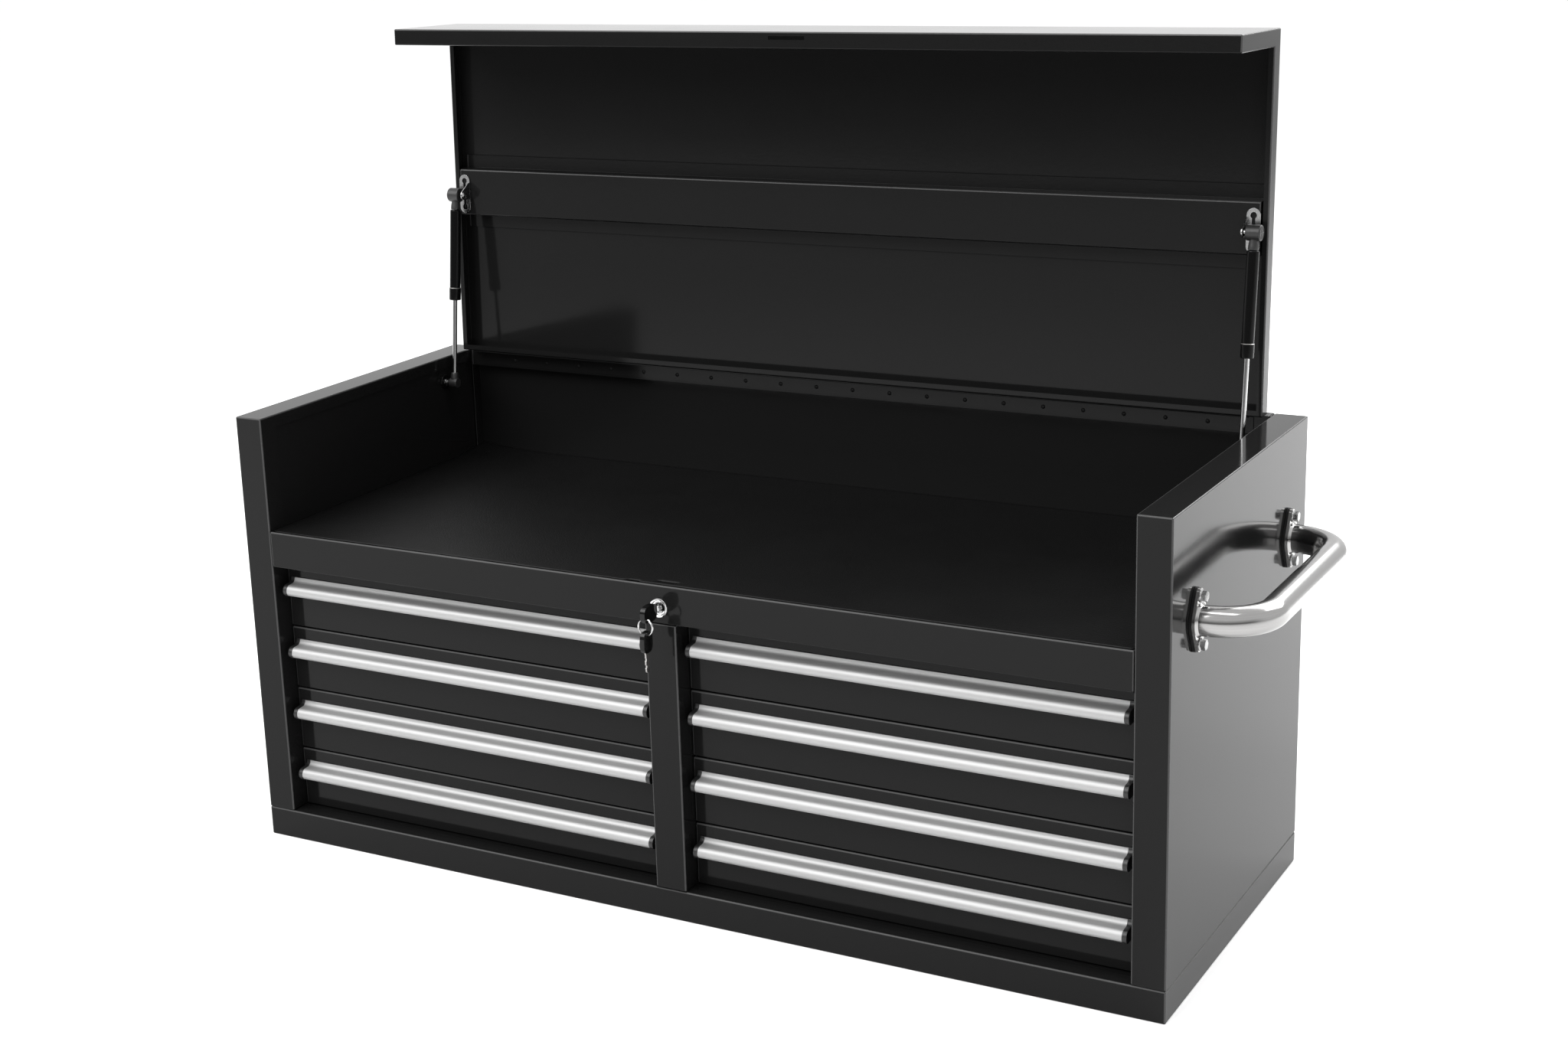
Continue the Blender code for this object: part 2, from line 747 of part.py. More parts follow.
# Lid, measured closed in the pivot's own frame: Y back from the hinge axis, Z up ---------------


def add_lid_pivot():
    pivot = bpy.data.objects.new("lid_pivot", None)
    PARTS.objects.link(pivot)
    pivot.location = (0, HINGE_Y, HINGE_Z)
    pivot.rotation_euler = (-math.radians(LID_OPEN_DEGREES), 0, 0)
    return pivot


def build_lid_shell(pivot):
    """Top, deep front and a flange all round, whose edges are turned in once more."""
    low = Vector((-LID_HALF, -LID_LENGTH, -LID_FLANGE))
    high = Vector((LID_HALF, -HINGE_CLEARANCE, 0))
    centre = middle(low, high)
    bm = box_bmesh(low, high)
    behind_front = -LID_LENGTH + LID_FLANGE - centre.y
    whole = bm.verts[:] + bm.edges[:] + bm.faces[:]
    bmesh.ops.bisect_plane(bm, geom=whole, plane_co=(0, behind_front, 0), plane_no=Y_AXIS)
    bm.normal_update()
    foot = [
        face
        for face in bm.faces
        if face.normal.z < -SQUARE_ON and face.calc_center_median().y < behind_front
    ]
    grown = bmesh.ops.extrude_face_region(bm, geom=foot)["geom"]
    moved = [item for item in grown if isinstance(item, bmesh.types.BMVert)]
    drop = Vector((0, 0, LID_FLANGE - LID_FRONT_DEPTH))
    bmesh.ops.translate(bm, verts=moved, vec=drop)
    bmesh.ops.delete(bm, geom=foot, context="FACES_ONLY")
    bm.normal_update()
    inner = [
        face
        for face in bm.faces
        if (face.normal.z < -SQUARE_ON and face.calc_center_median().y > behind_front)
        or (face.normal.y > SQUARE_ON and face.calc_center_median().z < -LID_FLANGE - centre.z)
    ]
    bmesh.ops.inset_region(
        bm, faces=inner, thickness=LID_RETURN, use_boundary=True, use_even_offset=True
    )
    bmesh.ops.delete(bm, geom=inner, context="FACES")
    lid = add_part("lid_shell", mesh_from("lid_shell", bm), BLACK_PAINT, centre, parent=pivot)
    solidify(lid)
    slot_y = -LID_LENGTH + LATCH_SLOT_FROM_FRONT
    half_length = LATCH_SLOT_LENGTH / 2
    half_width = LATCH_SLOT_WIDTH / 2
    low = (LATCH_SLOT_CENTRE - half_length, slot_y - half_width, -LID_FRONT_DEPTH - LATCH_CUT)
    high = (LATCH_SLOT_CENTRE + half_length, slot_y + half_width, -LID_FRONT_DEPTH + LATCH_CUT)
    cut(lid, helper_box("latch_slot", low, high, parent=pivot))


def build_stiffener(pivot):
    """A hat section: the crown stands off the lid and a flange lies on it at either side."""
    flange = SHEET + GAP + SHEET
    near, foot_near, crown_near, crown_far, foot_far, far = HAT_EDGES
    section = [
        (near, flange),
        (foot_near, flange),
        (crown_near, HAT_DEPTH),
        (crown_far, HAT_DEPTH),
        (foot_far, flange),
        (far, flange),
    ]
    bm = bmesh.new()
    line = [bm.verts.new((-HAT_HALF, -along, -depth)) for along, depth in section]
    edges = [bm.edges.new(pair) for pair in zip(line, line[1:])]
    grown = bmesh.ops.extrude_edge_only(bm, edges=edges)["geom"]
    moved = [item for item in grown if isinstance(item, bmesh.types.BMVert)]
    bmesh.ops.translate(bm, verts=moved, vec=(2 * HAT_HALF, 0, 0))
    bm.normal_update()
    outward = [face for face in bm.faces if face.normal.z > 0]
    bmesh.ops.reverse_faces(bm, faces=outward)
    hat = add_part("lid_stiffener", mesh_from("lid_stiffener", bm), BLACK_PAINT, parent=pivot)
    solidify(hat)


def hinge_leaf(name, way, knuckles, parent=None):
    """A strip that hangs from the axis on one side, with every other knuckle on it."""
    half = KNUCKLES * KNUCKLE_LENGTH / 2
    near = way * LEAF_INNER
    far = way * KNUCKLE_RADIUS
    low = (-half, min(near, far), -LEAF_WIDTH)
    high = (half, max(near, far), -KNUCKLE_RADIUS - LEAF_BELOW_KNUCKLE)
    at = Vector() if parent else Vector((0, HINGE_Y, HINGE_Z))
    mesh = box_mesh(name, low, high)
    mesh.transform(Matrix.Translation(middle(low, high)))
    leaf = add_part(name, mesh, BLACK_PAINT, at, parent=parent)
    for index in knuckles:
        start = -half + index * KNUCKLE_LENGTH + KNUCKLE_GAP
        length = KNUCKLE_LENGTH - 2 * KNUCKLE_GAP
        root_low = (start, min(near, far), -KNUCKLE_RADIUS - KNUCKLE_ROOT)
        root_high = (start + length, max(near, far), 0)
        root = box_mesh("root", root_low, root_high)
        root.transform(Matrix.Translation(middle(root_low, root_high)))
        join(leaf, add_helper("knuckle_root", root, at, parent=parent))
        place = at + Vector((start, 0, 0))
        join(leaf, helper_bar("knuckle", KNUCKLE_RADIUS, length, place, X_AXIS, 12, parent))
    start = at + Vector((-half - BORE_OVERRUN, 0, 0))
    length = 2 * (half + BORE_OVERRUN)
    cut(leaf, helper_bar("knuckle_bore", KNUCKLE_BORE, length, start, X_AXIS, 12, parent))
    return leaf


def build_hinge(pivot):
    hinge_leaf("hinge_leaf_body", 1, range(0, KNUCKLES, 2))
    hinge_leaf("hinge_leaf_lid", -1, range(1, KNUCKLES, 2), pivot)
    half = KNUCKLES * KNUCKLE_LENGTH / 2
    mesh = round_bar_mesh("hinge_pin", PIN_RADIUS, 2 * half, 12, X_AXIS)
    smooth(add_part("hinge_pin", mesh, ZINC, (-half, HINGE_Y, HINGE_Z)))


# Gas struts ---------------------------------------------------------------------------------


def upper_ball():
    """The upper ball's centre in the open pose, in the YZ plane of the strut."""
    turn = Matrix.Rotation(-math.radians(LID_OPEN_DEGREES), 3, "X")
    closed = Vector((0, -UPPER_BALL_FROM_HINGE, -UPPER_BALL_DEPTH))
    return Vector((0, HINGE_Y, HINGE_Z)) + turn @ closed


def build_strut(side, way):
    """Rod below, cylinder above; both are built along Z and laid along the line of the balls."""
    lower = Vector((way * STRUT_X, LOWER_BALL_Y, LOWER_BALL_Z))
    upper = upper_ball() + Vector((way * STRUT_X, 0, 0))
    line = upper - lower
    tilt = Z_AXIS.rotation_difference(line.normalized())

    pivot = bpy.data.objects.new(f"{side}_strut_pivot", None)
    PARTS.objects.link(pivot)
    pivot.location = lower
    pivot.rotation_mode = "QUATERNION"
    pivot.rotation_quaternion = tilt

    body_top = line.length - SOCKET_TOP_LENGTH
    body_foot = body_top - CYLINDER_LENGTH
    rod_name = f"{side}_strut_rod"
    rod_tip = body_foot + ROD_INSERTED
    rod_profile = [
        (0, rod_tip),
        (ROD_RADIUS, rod_tip - ROD_TIP_EASE),
        (ROD_RADIUS, SOCKET_LOW_LENGTH),
        (SOCKET_LOW_RADIUS - SOCKET_SHOULDER, SOCKET_LOW_LENGTH),
        (SOCKET_LOW_RADIUS, SOCKET_LOW_LENGTH - SOCKET_CHAMFER),
        (SOCKET_LOW_RADIUS, -SOCKET_LOW_TAIL + SMALL_CHAMFER),
        (SOCKET_LOW_RADIUS - SMALL_CHAMFER, -SOCKET_LOW_TAIL),
        (0, -SOCKET_LOW_TAIL),
    ]
    rod = smooth(add_part(rod_name, turned_mesh(rod_name, rod_profile, 20), CHROME, parent=pivot))
    seat = Vector((-way * BALL_RADIUS, 0, 0))
    seat_bar = helper_bar("ball_seat", BALL_SEAT_RADIUS, BALL_SEAT_LENGTH, seat, way * X_AXIS, 20, pivot)
    cut(rod, seat_bar)

    cylinder_name = f"{side}_strut_cylinder"
    socket_top = line.length + SOCKET_TOP_RADIUS
    socket_foot = line.length - SOCKET_TOP_RADIUS
    profile = [
        (0, socket_top),
        (SOCKET_TOP_RADIUS - SOCKET_CHAMFER, socket_top),
        (SOCKET_TOP_RADIUS, socket_top - SOCKET_CHAMFER),
        (SOCKET_TOP_RADIUS, socket_foot + SOCKET_CHAMFER),
        (SOCKET_TOP_RADIUS - SOCKET_CHAMFER, socket_foot),
        (CYLINDER_RADIUS - SMALL_CHAMFER, socket_foot - SMALL_CHAMFER),
        (CYLINDER_RADIUS - SMALL_CHAMFER, body_top),
        (CYLINDER_RADIUS, body_top - SMALL_CHAMFER),
        (CYLINDER_RADIUS, body_foot + COLLAR_LENGTH),
        (COLLAR_RADIUS, body_foot + COLLAR_LENGTH),
        (COLLAR_RADIUS, body_foot + SMALL_CHAMFER),
        (COLLAR_RADIUS - SMALL_CHAMFER, body_foot),
        (CYLINDER_BORE, body_foot),
        (CYLINDER_BORE, body_foot + CYLINDER_BORE_DEPTH),
        (0, body_foot + CYLINDER_BORE_DEPTH),
    ]
    mesh = turned_mesh(cylinder_name, profile, 20)
    smooth(add_part(cylinder_name, mesh, BLACK_PLASTIC, parent=pivot))


def build_lower_stud(side, way):
    """Washer on the liner, neck and ball, turned about the line through the ball."""
    name = f"{side}_lower_ball_stud"
    foot = LINER_X - STRUT_X - GAP
    neck_top = -math.sqrt(BALL_RADIUS**2 - STUD_RADIUS**2)
    profile = []
    for i in range(6):
        angle = math.radians(90 - i * 132 / 5)
        profile.append((BALL_RADIUS * math.cos(angle), BALL_RADIUS * math.sin(angle)))
    profile[-1] = (STUD_RADIUS, neck_top)
    profile += [
        (STUD_RADIUS, -foot + WASHER_THICKNESS),
        (WASHER_RADIUS, -foot + WASHER_THICKNESS),
        (WASHER_RADIUS, -foot),
        (0, -foot),
    ]
    turn = Z_AXIS.rotation_difference(-way * X_AXIS)
    at = (way * STRUT_X, LOWER_BALL_Y, LOWER_BALL_Z)
    smooth(add_part(name, turned_mesh(name, profile, 20), BLACK_PLASTIC, at, turn))


def build_upper_bracket(side, way, pivot):
    """A zinc plate on the stiffener's crown, with an arm and a short stud for the strut."""
    name = f"{side}_strut_bracket"
    plate_depth = HAT_DEPTH + GAP
    inboard = way * BRACKET_INBOARD
    outboard = way * BRACKET_OUTBOARD
    low = (min(inboard, outboard), -BRACKET_FAR, -plate_depth - BRACKET_SHEET)
    high = (max(inboard, outboard), -BRACKET_NEAR, -plate_depth)
    bracket = add_box(name, low, high, ZINC, pivot)
    for along in (BRACKET_NEAR + KEYHOLE_INSET, BRACKET_FAR - KEYHOLE_INSET):
        start = (way * (BRACKET_INBOARD + BRACKET_OUTBOARD) / 2, -along, -plate_depth - KEYHOLE_CUT)
        cut(bracket, helper_bar("keyhole", KEYHOLE_RADIUS, 2 * KEYHOLE_CUT, start, Z_AXIS, 16, pivot))

    centre = UPPER_BALL_FROM_HINGE
    foot_near = centre - BRACKET_ARM_FOOT_HALF
    arm = [(foot_near, plate_depth), (centre + BRACKET_ARM_FOOT_HALF, plate_depth)]
    for i in range(7):
        angle = math.radians(30 + 20 * i)
        along = centre + BRACKET_ARM_RADIUS * math.cos(angle)
        arm.append((along, UPPER_BALL_DEPTH + BRACKET_ARM_RADIUS * math.sin(angle)))
    turn = frame_of(-Y_AXIS, -Z_AXIS)
    arm_mesh = outline_mesh("arm", arm, BRACKET_SHEET)
    arm_x = way * (BRACKET_INBOARD + BRACKET_SHEET / 2)
    join(bracket, add_helper("arm", arm_mesh, (arm_x, 0, 0), turn, pivot))
    stud_start = (way * (BRACKET_INBOARD - STUD_HEAD_PROUD), -centre, -UPPER_BALL_DEPTH)
    stud_length = STRUT_X - SOCKET_TOP_RADIUS - GAP - BRACKET_INBOARD + STUD_HEAD_PROUD
    stud = helper_bar("stud", STUD_RADIUS, stud_length, stud_start, way * X_AXIS, 16, pivot)
    join(bracket, stud)


# Lock and keys ------------------------------------------------------------------------------


def build_lock():
    face = -HALF_DEPTH
    profile = [
        (PLUG_BORE, BEZEL_PROUD - BORE_CHAMFER),
        (PLUG_BORE + BEZEL_CHAMFER, BEZEL_PROUD),
        (BEZEL_RADIUS - BEZEL_CHAMFER, BEZEL_PROUD),
        (BEZEL_RADIUS, BEZEL_PROUD - BEZEL_EDGE),
        (BEZEL_RADIUS, GAP),
        (BARREL_RADIUS, GAP),
        (BARREL_RADIUS, -BARREL_END),
        (PLUG_BORE, -BARREL_END),
        (PLUG_BORE, BEZEL_PROUD - BORE_CHAMFER),
    ]
    turn = Z_AXIS.rotation_difference(-Y_AXIS)
    mesh = turned_mesh("lock_barrel", profile, 32)
    smooth(add_part("lock_barrel", mesh, CHROME, (0, face, LOCK_Z), turn))

    plug_front = face - BEZEL_PROUD + PLUG_RECESS
    plug_length = BEZEL_PROUD - PLUG_RECESS + BARREL_END + GAP
    cam_y = plug_front + plug_length
    mesh = round_bar_mesh("lock_plug", PLUG_RADIUS, plug_length + CAM_THICKNESS / 2, 24, Y_AXIS)
    plug = add_part("lock_plug", mesh, CHROME, (0, plug_front, LOCK_Z))
    cam_low = (-CAM_LENGTH, cam_y, LOCK_Z - CAM_HALF)
    cam_high = (CAM_HALF, cam_y + CAM_THICKNESS, LOCK_Z + CAM_HALF)
    join(plug, helper_box("cam", cam_low, cam_high))
    slot_half = BLADE_THICKNESS / 2 + GAP
    slot_low = (-slot_half, plug_front - KEYWAY_OVERRUN, LOCK_Z - BLADE_HALF - GAP)
    slot_high = (slot_half, plug_front + BLADE_INSERTED, LOCK_Z + BLADE_HALF + GAP)
    cut(plug, helper_box("keyway", slot_low, slot_high))
    return plug, plug_front, cam_y + CAM_THICKNESS + GAP


def build_lock_bar(plate_y):
    """A plate behind the cam, a foot and a leg that pass beside the barrel, and a tongue over it."""
    front = latch_y() - TONGUE_THICKNESS / 2
    leg_back = front + TONGUE_THICKNESS
    plate_back = plate_y + TONGUE_THICKNESS
    plate_low = (TONGUE_LEFT, plate_y, BAR_BOTTOM)
    bar = add_box("lock_bar", plate_low, (TONGUE_RIGHT, plate_back, BAR_TOP), ZINC)
    leg_low = (BAR_LEG_LEFT, front, BAR_FOOT)
    foot_high = (TONGUE_RIGHT, plate_back, BAR_FOOT + TONGUE_THICKNESS)
    join(bar, helper_box("bar_foot", leg_low, foot_high))
    join(bar, helper_box("bar_leg", leg_low, (TONGUE_RIGHT, leg_back, TONGUE_TOP)))
    tongue_low = (TONGUE_LEFT, front, TONGUE_BOTTOM)
    join(bar, helper_box("tongue", tongue_low, (TONGUE_RIGHT, leg_back, TONGUE_TOP)))


def rounded_outline(half_x, half_y, power=3.0, steps=28):
    """A superellipse, squarer than an oval."""
    points = []
    for i in range(steps):
        angle = 2 * math.pi * i / steps
        c = math.cos(angle)
        s = math.sin(angle)
        across = math.copysign(abs(c) ** (2 / power), c) * half_x
        points.append((across, math.copysign(abs(s) ** (2 / power), s) * half_y))
    return points


def build_keys(plug, plug_front):
    """The key's head stands upright in front of the plug; its ring hangs from the head's corner."""
    head_near = plug_front - KEY_HEAD_NEAR
    head_y = head_near - KEY_HEAD_LENGTH / 2
    turn = frame_of(-Y_AXIS, Z_AXIS)
    outline = rounded_outline(KEY_HEAD_LENGTH / 2, KEY_HEAD_HEIGHT / 2)
    mesh = outline_mesh("key_in_lock", outline, KEY_HEAD_THICKNESS)
    centre = Vector((0, head_y, LOCK_Z))
    key = add_part("key_in_lock", mesh, BLACK_PLASTIC, centre, turn)
    half = BLADE_THICKNESS / 2
    blade_end = plug_front + BLADE_INSERTED - GAP
    blade_low = (-half, head_near - BLADE_LAP, LOCK_Z - BLADE_HALF)
    join(key, helper_box("blade", blade_low, (half, blade_end, LOCK_Z + BLADE_HALF)))
    hole_y = head_y - KEY_HEAD_LENGTH / 2 + KEY_HOLE_INSET
    hole_z = LOCK_Z - KEY_HEAD_HEIGHT / 2 + KEY_HOLE_INSET
    start = (-KEY_HOLE_CUT, hole_y, hole_z)
    cut(key, helper_bar("ring_hole", KEY_HOLE_RADIUS, 2 * KEY_HOLE_CUT, start, X_AXIS, 16))

    ring_steps = 20
    ring_points = []
    for i in range(ring_steps):
        angle = 2 * math.pi * i / ring_steps
        ring_points.append((RING_RADIUS * math.sin(angle), 0, RING_RADIUS * (math.cos(angle) - 1)))
    mesh = tube_mesh("key_ring", ring_points, RING_WIRE, 2, closed=True)
    smooth(add_part("key_ring", mesh, CHROME, (0, hole_y, hole_z)), 60)

    spare_top = hole_z - 2 * RING_RADIUS
    head_z = spare_top + SPARE_HOLE_INSET - SPARE_HEAD_LENGTH / 2
    outline = rounded_outline(SPARE_HEAD_HALF, SPARE_HEAD_LENGTH / 2)
    mesh = outline_mesh("spare_key", outline, KEY_HEAD_THICKNESS / 2)
    turn = frame_of(Y_AXIS, Z_AXIS)
    spare = add_part("spare_key", mesh, BLACK_PLASTIC, (0, hole_y, head_z), turn)
    head_foot = head_z - SPARE_HEAD_LENGTH / 2
    blade_low = (-half, hole_y - BLADE_HALF, head_foot - SPARE_BLADE_LENGTH)
    blade_high = (half, hole_y + BLADE_HALF, head_foot + BLADE_LAP)
    join(spare, helper_box("spare_blade", blade_low, blade_high))
    start = (-KEY_HOLE_CUT, hole_y, spare_top)
    cut(spare, helper_bar("spare_hole", KEY_HOLE_RADIUS, 2 * KEY_HOLE_CUT, start, X_AXIS, 16))


# Side handle --------------------------------------------------------------------------------


def flange_outline(margin=0.0):
    """A two-bolt flange: the outline around a middle circle and two small ones."""
    half_spacing = BOLT_SPACING / 2
    lean = (FLANGE_MIDDLE_RADIUS - FLANGE_END_RADIUS) / half_spacing
    points = []
    for i in range(FLANGE_STEPS):
        angle = 2 * math.pi * i / FLANGE_STEPS
        up = math.sin(angle)
        if abs(up) < lean:
            centre = 0.0
            radius = FLANGE_MIDDLE_RADIUS + margin
        else:
            centre = math.copysign(half_spacing, up)
            radius = FLANGE_END_RADIUS + margin
        points.append((radius * math.cos(angle), centre + radius * up))
    return points


def bolt_places():
    for end, end_way in (("rear", 1), ("front", -1)):
        for level, level_way in (("upper", 1), ("lower", -1)):
            z = HANDLE_Z + level_way * BOLT_SPACING / 2
            yield f"{end}_{level}", end_way * HANDLE_HALF_SPAN, z


def bolt_hole_cutters():
    """Four long cutters that pass through the flange, the gasket and the panel."""
    cutters = []
    for name, y, z in bolt_places():
        start = (HALF_WIDTH - BOLT_CUT_START, y, z)
        cutter = helper_bar(f"{name}_hole", BOLT_HOLE_RADIUS, BOLT_CUT_LENGTH, start, X_AXIS, 16)
        cutters.append(cutter)
    return cutters


def handle_route():
    """The tube's centre line from the rear flange round to the front one."""
    start_x = FLANGE_FACE_X + FLANGE_THICKNESS / 2
    bar_x = HALF_WIDTH + HANDLE_REACH
    bend_x = bar_x - HANDLE_BEND
    straight = HANDLE_HALF_SPAN - HANDLE_BEND
    points = [(start_x, HANDLE_HALF_SPAN, 0)]
    for i in range(HANDLE_BEND_STEPS + 1):
        angle = math.radians(90 - 90 * i / HANDLE_BEND_STEPS)
        y = straight + HANDLE_BEND * math.sin(angle)
        points.append((bend_x + HANDLE_BEND * math.cos(angle), y, 0))
    mirrored = [(x, -y, z) for x, y, z in reversed(points)]
    return points + mirrored


def build_handle(right_panel):
    cutters = bolt_hole_cutters()
    for cutter in cutters:
        cut(right_panel, cutter)

    mesh = tube_mesh("side_handle", handle_route(), HANDLE_TUBE_RADIUS, 7, caps=False)
    handle = add_part("side_handle", mesh, STAINLESS, (0, 0, HANDLE_Z))
    solidify(handle, HANDLE_TUBE_WALL)
    turn = frame_of(Y_AXIS, Z_AXIS)
    for end, way in (("front", -1), ("rear", 1)):
        y = way * HANDLE_HALF_SPAN
        at = (FLANGE_FACE_X + FLANGE_THICKNESS / 2, y, HANDLE_Z)
        plate = outline_mesh("plate", flange_outline(), FLANGE_THICKNESS)
        plate_helper = add_helper(f"{end}_plate", plate, at, turn)
        bore_radius = HANDLE_TUBE_RADIUS - HANDLE_TUBE_WALL
        bore_start = (HALF_WIDTH, y, HANDLE_Z)
        bore = helper_bar(f"{end}_bore", bore_radius, TUBE_BORE_CUT, bore_start, X_AXIS)
        cut(plate_helper, bore)
        join(handle, plate_helper)

        name = f"{end}_handle_gasket"
        gasket = outline_mesh(name, flange_outline(GASKET_MARGIN), GASKET_THICKNESS)
        at = (HALF_WIDTH + GAP + GASKET_THICKNESS / 2, y, HANDLE_Z)
        gasket_part = add_part(name, gasket, BLACK_RUBBER, at, turn)
        for cutter in cutters:
            if cutter.location.y * way > 0:
                cut(gasket_part, cutter)
    for cutter in cutters:
        cut(handle, cutter)
    smooth(handle, 30)
    build_handle_bolts()


def build_handle_bolts():
    """Hex head on a flange washer, with its shank through the panel."""
    face = FLANGE_FACE_X + FLANGE_THICKNESS + GAP
    for name, y, z in bolt_places():
        mesh = round_bar_mesh("bolt", BOLT_RADIUS, BOLT_TAIL + BOLT_LAP, 12, -X_AXIS)
        at = (face + BOLT_LAP, y, z)
        bolt = add_part(f"{name}_handle_bolt", mesh, ZINC, at)
        washer = helper_bar("washer", BOLT_WASHER_RADIUS, BOLT_WASHER_THICKNESS, (face, y, z), X_AXIS)
        join(bolt, washer)
        head_start = (face + BOLT_WASHER_THICKNESS / 2, y, z)
        head_length = BOLT_WASHER_THICKNESS / 2 + BOLT_HEAD_HEIGHT
        join(bolt, helper_bar("head", BOLT_HEAD_RADIUS, head_length, head_start, X_AXIS, 6))


def build_chest():
    build_base_pan()
    panels = {side: build_side_panel(side, way) for side, way in SIDES.items()}
    for side, way in SIDES.items():
        build_liner(side, way)
    build_back_panel()
    build_hinge_rail()
    build_tray()
    build_header()
    build_centre()
    build_drawers()
    build_racks()
    pivot = add_lid_pivot()
    build_lid_shell(pivot)
    build_stiffener(pivot)
    build_hinge(pivot)
    for side, way in SIDES.items():
        build_strut(side, way)
        build_lower_stud(side, way)
        build_upper_bracket(side, way, pivot)
    plug, plug_front, plate_y = build_lock()
    build_lock_bar(plate_y)
    build_keys(plug, plug_front)
    build_handle(panels["right"])


clear_scene()
PARTS = add_collection("tool_chest")
HELPERS = add_collection("cutters", helper=True)
build_chest()
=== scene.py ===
"""The looks of a steel tool chest: folded sheet, drawer pulls, gas struts, lock, keys, handle, mat.

Metres, X to the right, Y to the back, Z up. Pieces take their places from the frame's own boxes.
The lid stands open at rest. Its strut brackets are drawn closed and swung up with LID_SWING.
"""

import json
from math import copysign, cos, hypot, pi, radians, sin, tau

import bmesh
import bpy
from mathutils import Matrix, Vector, noise


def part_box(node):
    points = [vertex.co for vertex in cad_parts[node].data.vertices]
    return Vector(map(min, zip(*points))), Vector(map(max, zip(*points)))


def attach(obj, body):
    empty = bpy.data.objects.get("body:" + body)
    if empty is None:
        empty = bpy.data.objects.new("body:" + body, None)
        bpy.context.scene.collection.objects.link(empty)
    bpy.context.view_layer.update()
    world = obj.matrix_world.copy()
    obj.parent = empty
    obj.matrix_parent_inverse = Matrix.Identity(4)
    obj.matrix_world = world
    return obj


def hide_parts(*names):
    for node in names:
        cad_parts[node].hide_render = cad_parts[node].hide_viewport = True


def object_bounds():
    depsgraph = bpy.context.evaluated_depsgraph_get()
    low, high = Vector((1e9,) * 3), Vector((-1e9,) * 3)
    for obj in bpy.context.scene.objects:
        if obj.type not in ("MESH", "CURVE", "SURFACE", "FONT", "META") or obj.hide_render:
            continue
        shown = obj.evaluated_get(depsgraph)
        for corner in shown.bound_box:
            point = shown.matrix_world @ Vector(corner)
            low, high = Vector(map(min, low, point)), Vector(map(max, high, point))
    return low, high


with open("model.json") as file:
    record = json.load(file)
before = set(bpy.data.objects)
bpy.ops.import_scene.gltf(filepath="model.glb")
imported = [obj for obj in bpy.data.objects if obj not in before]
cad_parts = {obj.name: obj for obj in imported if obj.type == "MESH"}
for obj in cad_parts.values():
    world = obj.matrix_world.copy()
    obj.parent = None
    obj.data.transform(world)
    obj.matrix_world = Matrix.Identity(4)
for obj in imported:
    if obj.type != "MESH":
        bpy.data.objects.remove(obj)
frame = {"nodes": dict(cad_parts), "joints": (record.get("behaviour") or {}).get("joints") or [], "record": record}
cad_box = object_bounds()

X_AXIS = Vector((1, 0, 0))
Y_AXIS = Vector((0, 1, 0))
Z_AXIS = Vector((0, 0, 1))
SIDES = {"left": -1, "right": 1}
JOINTS = {joint["name"]: joint for joint in frame["joints"]}
BODIES = frame["record"]["behaviour"]["bodies"]
BODY_OF = {node: body for body, nodes in BODIES.items() for node in nodes}
DRAWERS = [f"{side}_drawer_{row}" for side in SIDES for row in (1, 2, 3, 4)]

shift = Matrix.Translation

# Lid pivot.
HINGE = Vector(JOINTS["lid_hinge"]["pos_m"])
OPEN_DEGREES = JOINTS["lid_hinge"]["range_deg"][1]
LID_SWING = shift(HINGE) @ Matrix.Rotation(-radians(OPEN_DEGREES), 4, "X")


# Shader building -----------------


class Graph:
    """Short forms for adding and joining nodes in one tree."""

    def __init__(self, tree):
        self.tree = tree

    def add(self, kind, **settings):
        node = self.tree.nodes.new(kind)
        for name, value in settings.items():
            setattr(node, name, value)
        return node

    def feed(self, socket, value):
        if isinstance(value, bpy.types.NodeSocket):
            self.tree.links.new(value, socket)
        else:
            socket.default_value = value

    def maths(self, operation, first, second=0.0):
        node = self.add("ShaderNodeMath", operation=operation)
        self.feed(node.inputs[0], first)
        self.feed(node.inputs[1], second)
        return node.outputs[0]

    def spread(self, value, low, high):
        """A 0..1 value stretched from low to high."""
        node = self.add("ShaderNodeMapRange")
        self.feed(node.inputs["Value"], value)
        self.feed(node.inputs["To Min"], low)
        self.feed(node.inputs["To Max"], high)
        return node.outputs["Result"]

    def around_one(self, value, amount):
        """A 0..1 value stretched from an amount under one to as much over it."""
        low = self.maths("SUBTRACT", 1.0, amount)
        return self.spread(value, low, self.maths("ADD", 1.0, amount))

    def noise(self, vector, scale, detail=2.0, roughness=0.5):
        node = self.add("ShaderNodeTexNoise")
        self.feed(node.inputs["Vector"], vector)
        self.feed(node.inputs["Scale"], scale)
        self.feed(node.inputs["Detail"], detail)
        self.feed(node.inputs["Roughness"], roughness)
        return node.outputs["Fac"]

    def stretched(self, vector, scales):
        node = self.add("ShaderNodeVectorMath", operation="MULTIPLY")
        self.feed(node.inputs[0], vector)
        self.feed(node.inputs[1], scales)
        return node.outputs[0]

    def tinted(self, colour, factor):
        """A colour made lighter or darker by a factor around one."""
        node = self.add("ShaderNodeVectorMath", operation="SCALE")
        self.feed(node.inputs[0], colour)
        self.feed(node.inputs["Scale"], factor)
        return node.outputs[0]

    def mixed(self, factor, first, second):
        """The first colour where the factor is 0, the second where it is 1."""
        node = self.add("ShaderNodeMix", data_type="RGBA")
        self.feed(node.inputs["Factor"], factor)
        self.feed(node.inputs["A"], first)
        self.feed(node.inputs["B"], second)
        return node.outputs["Result"]


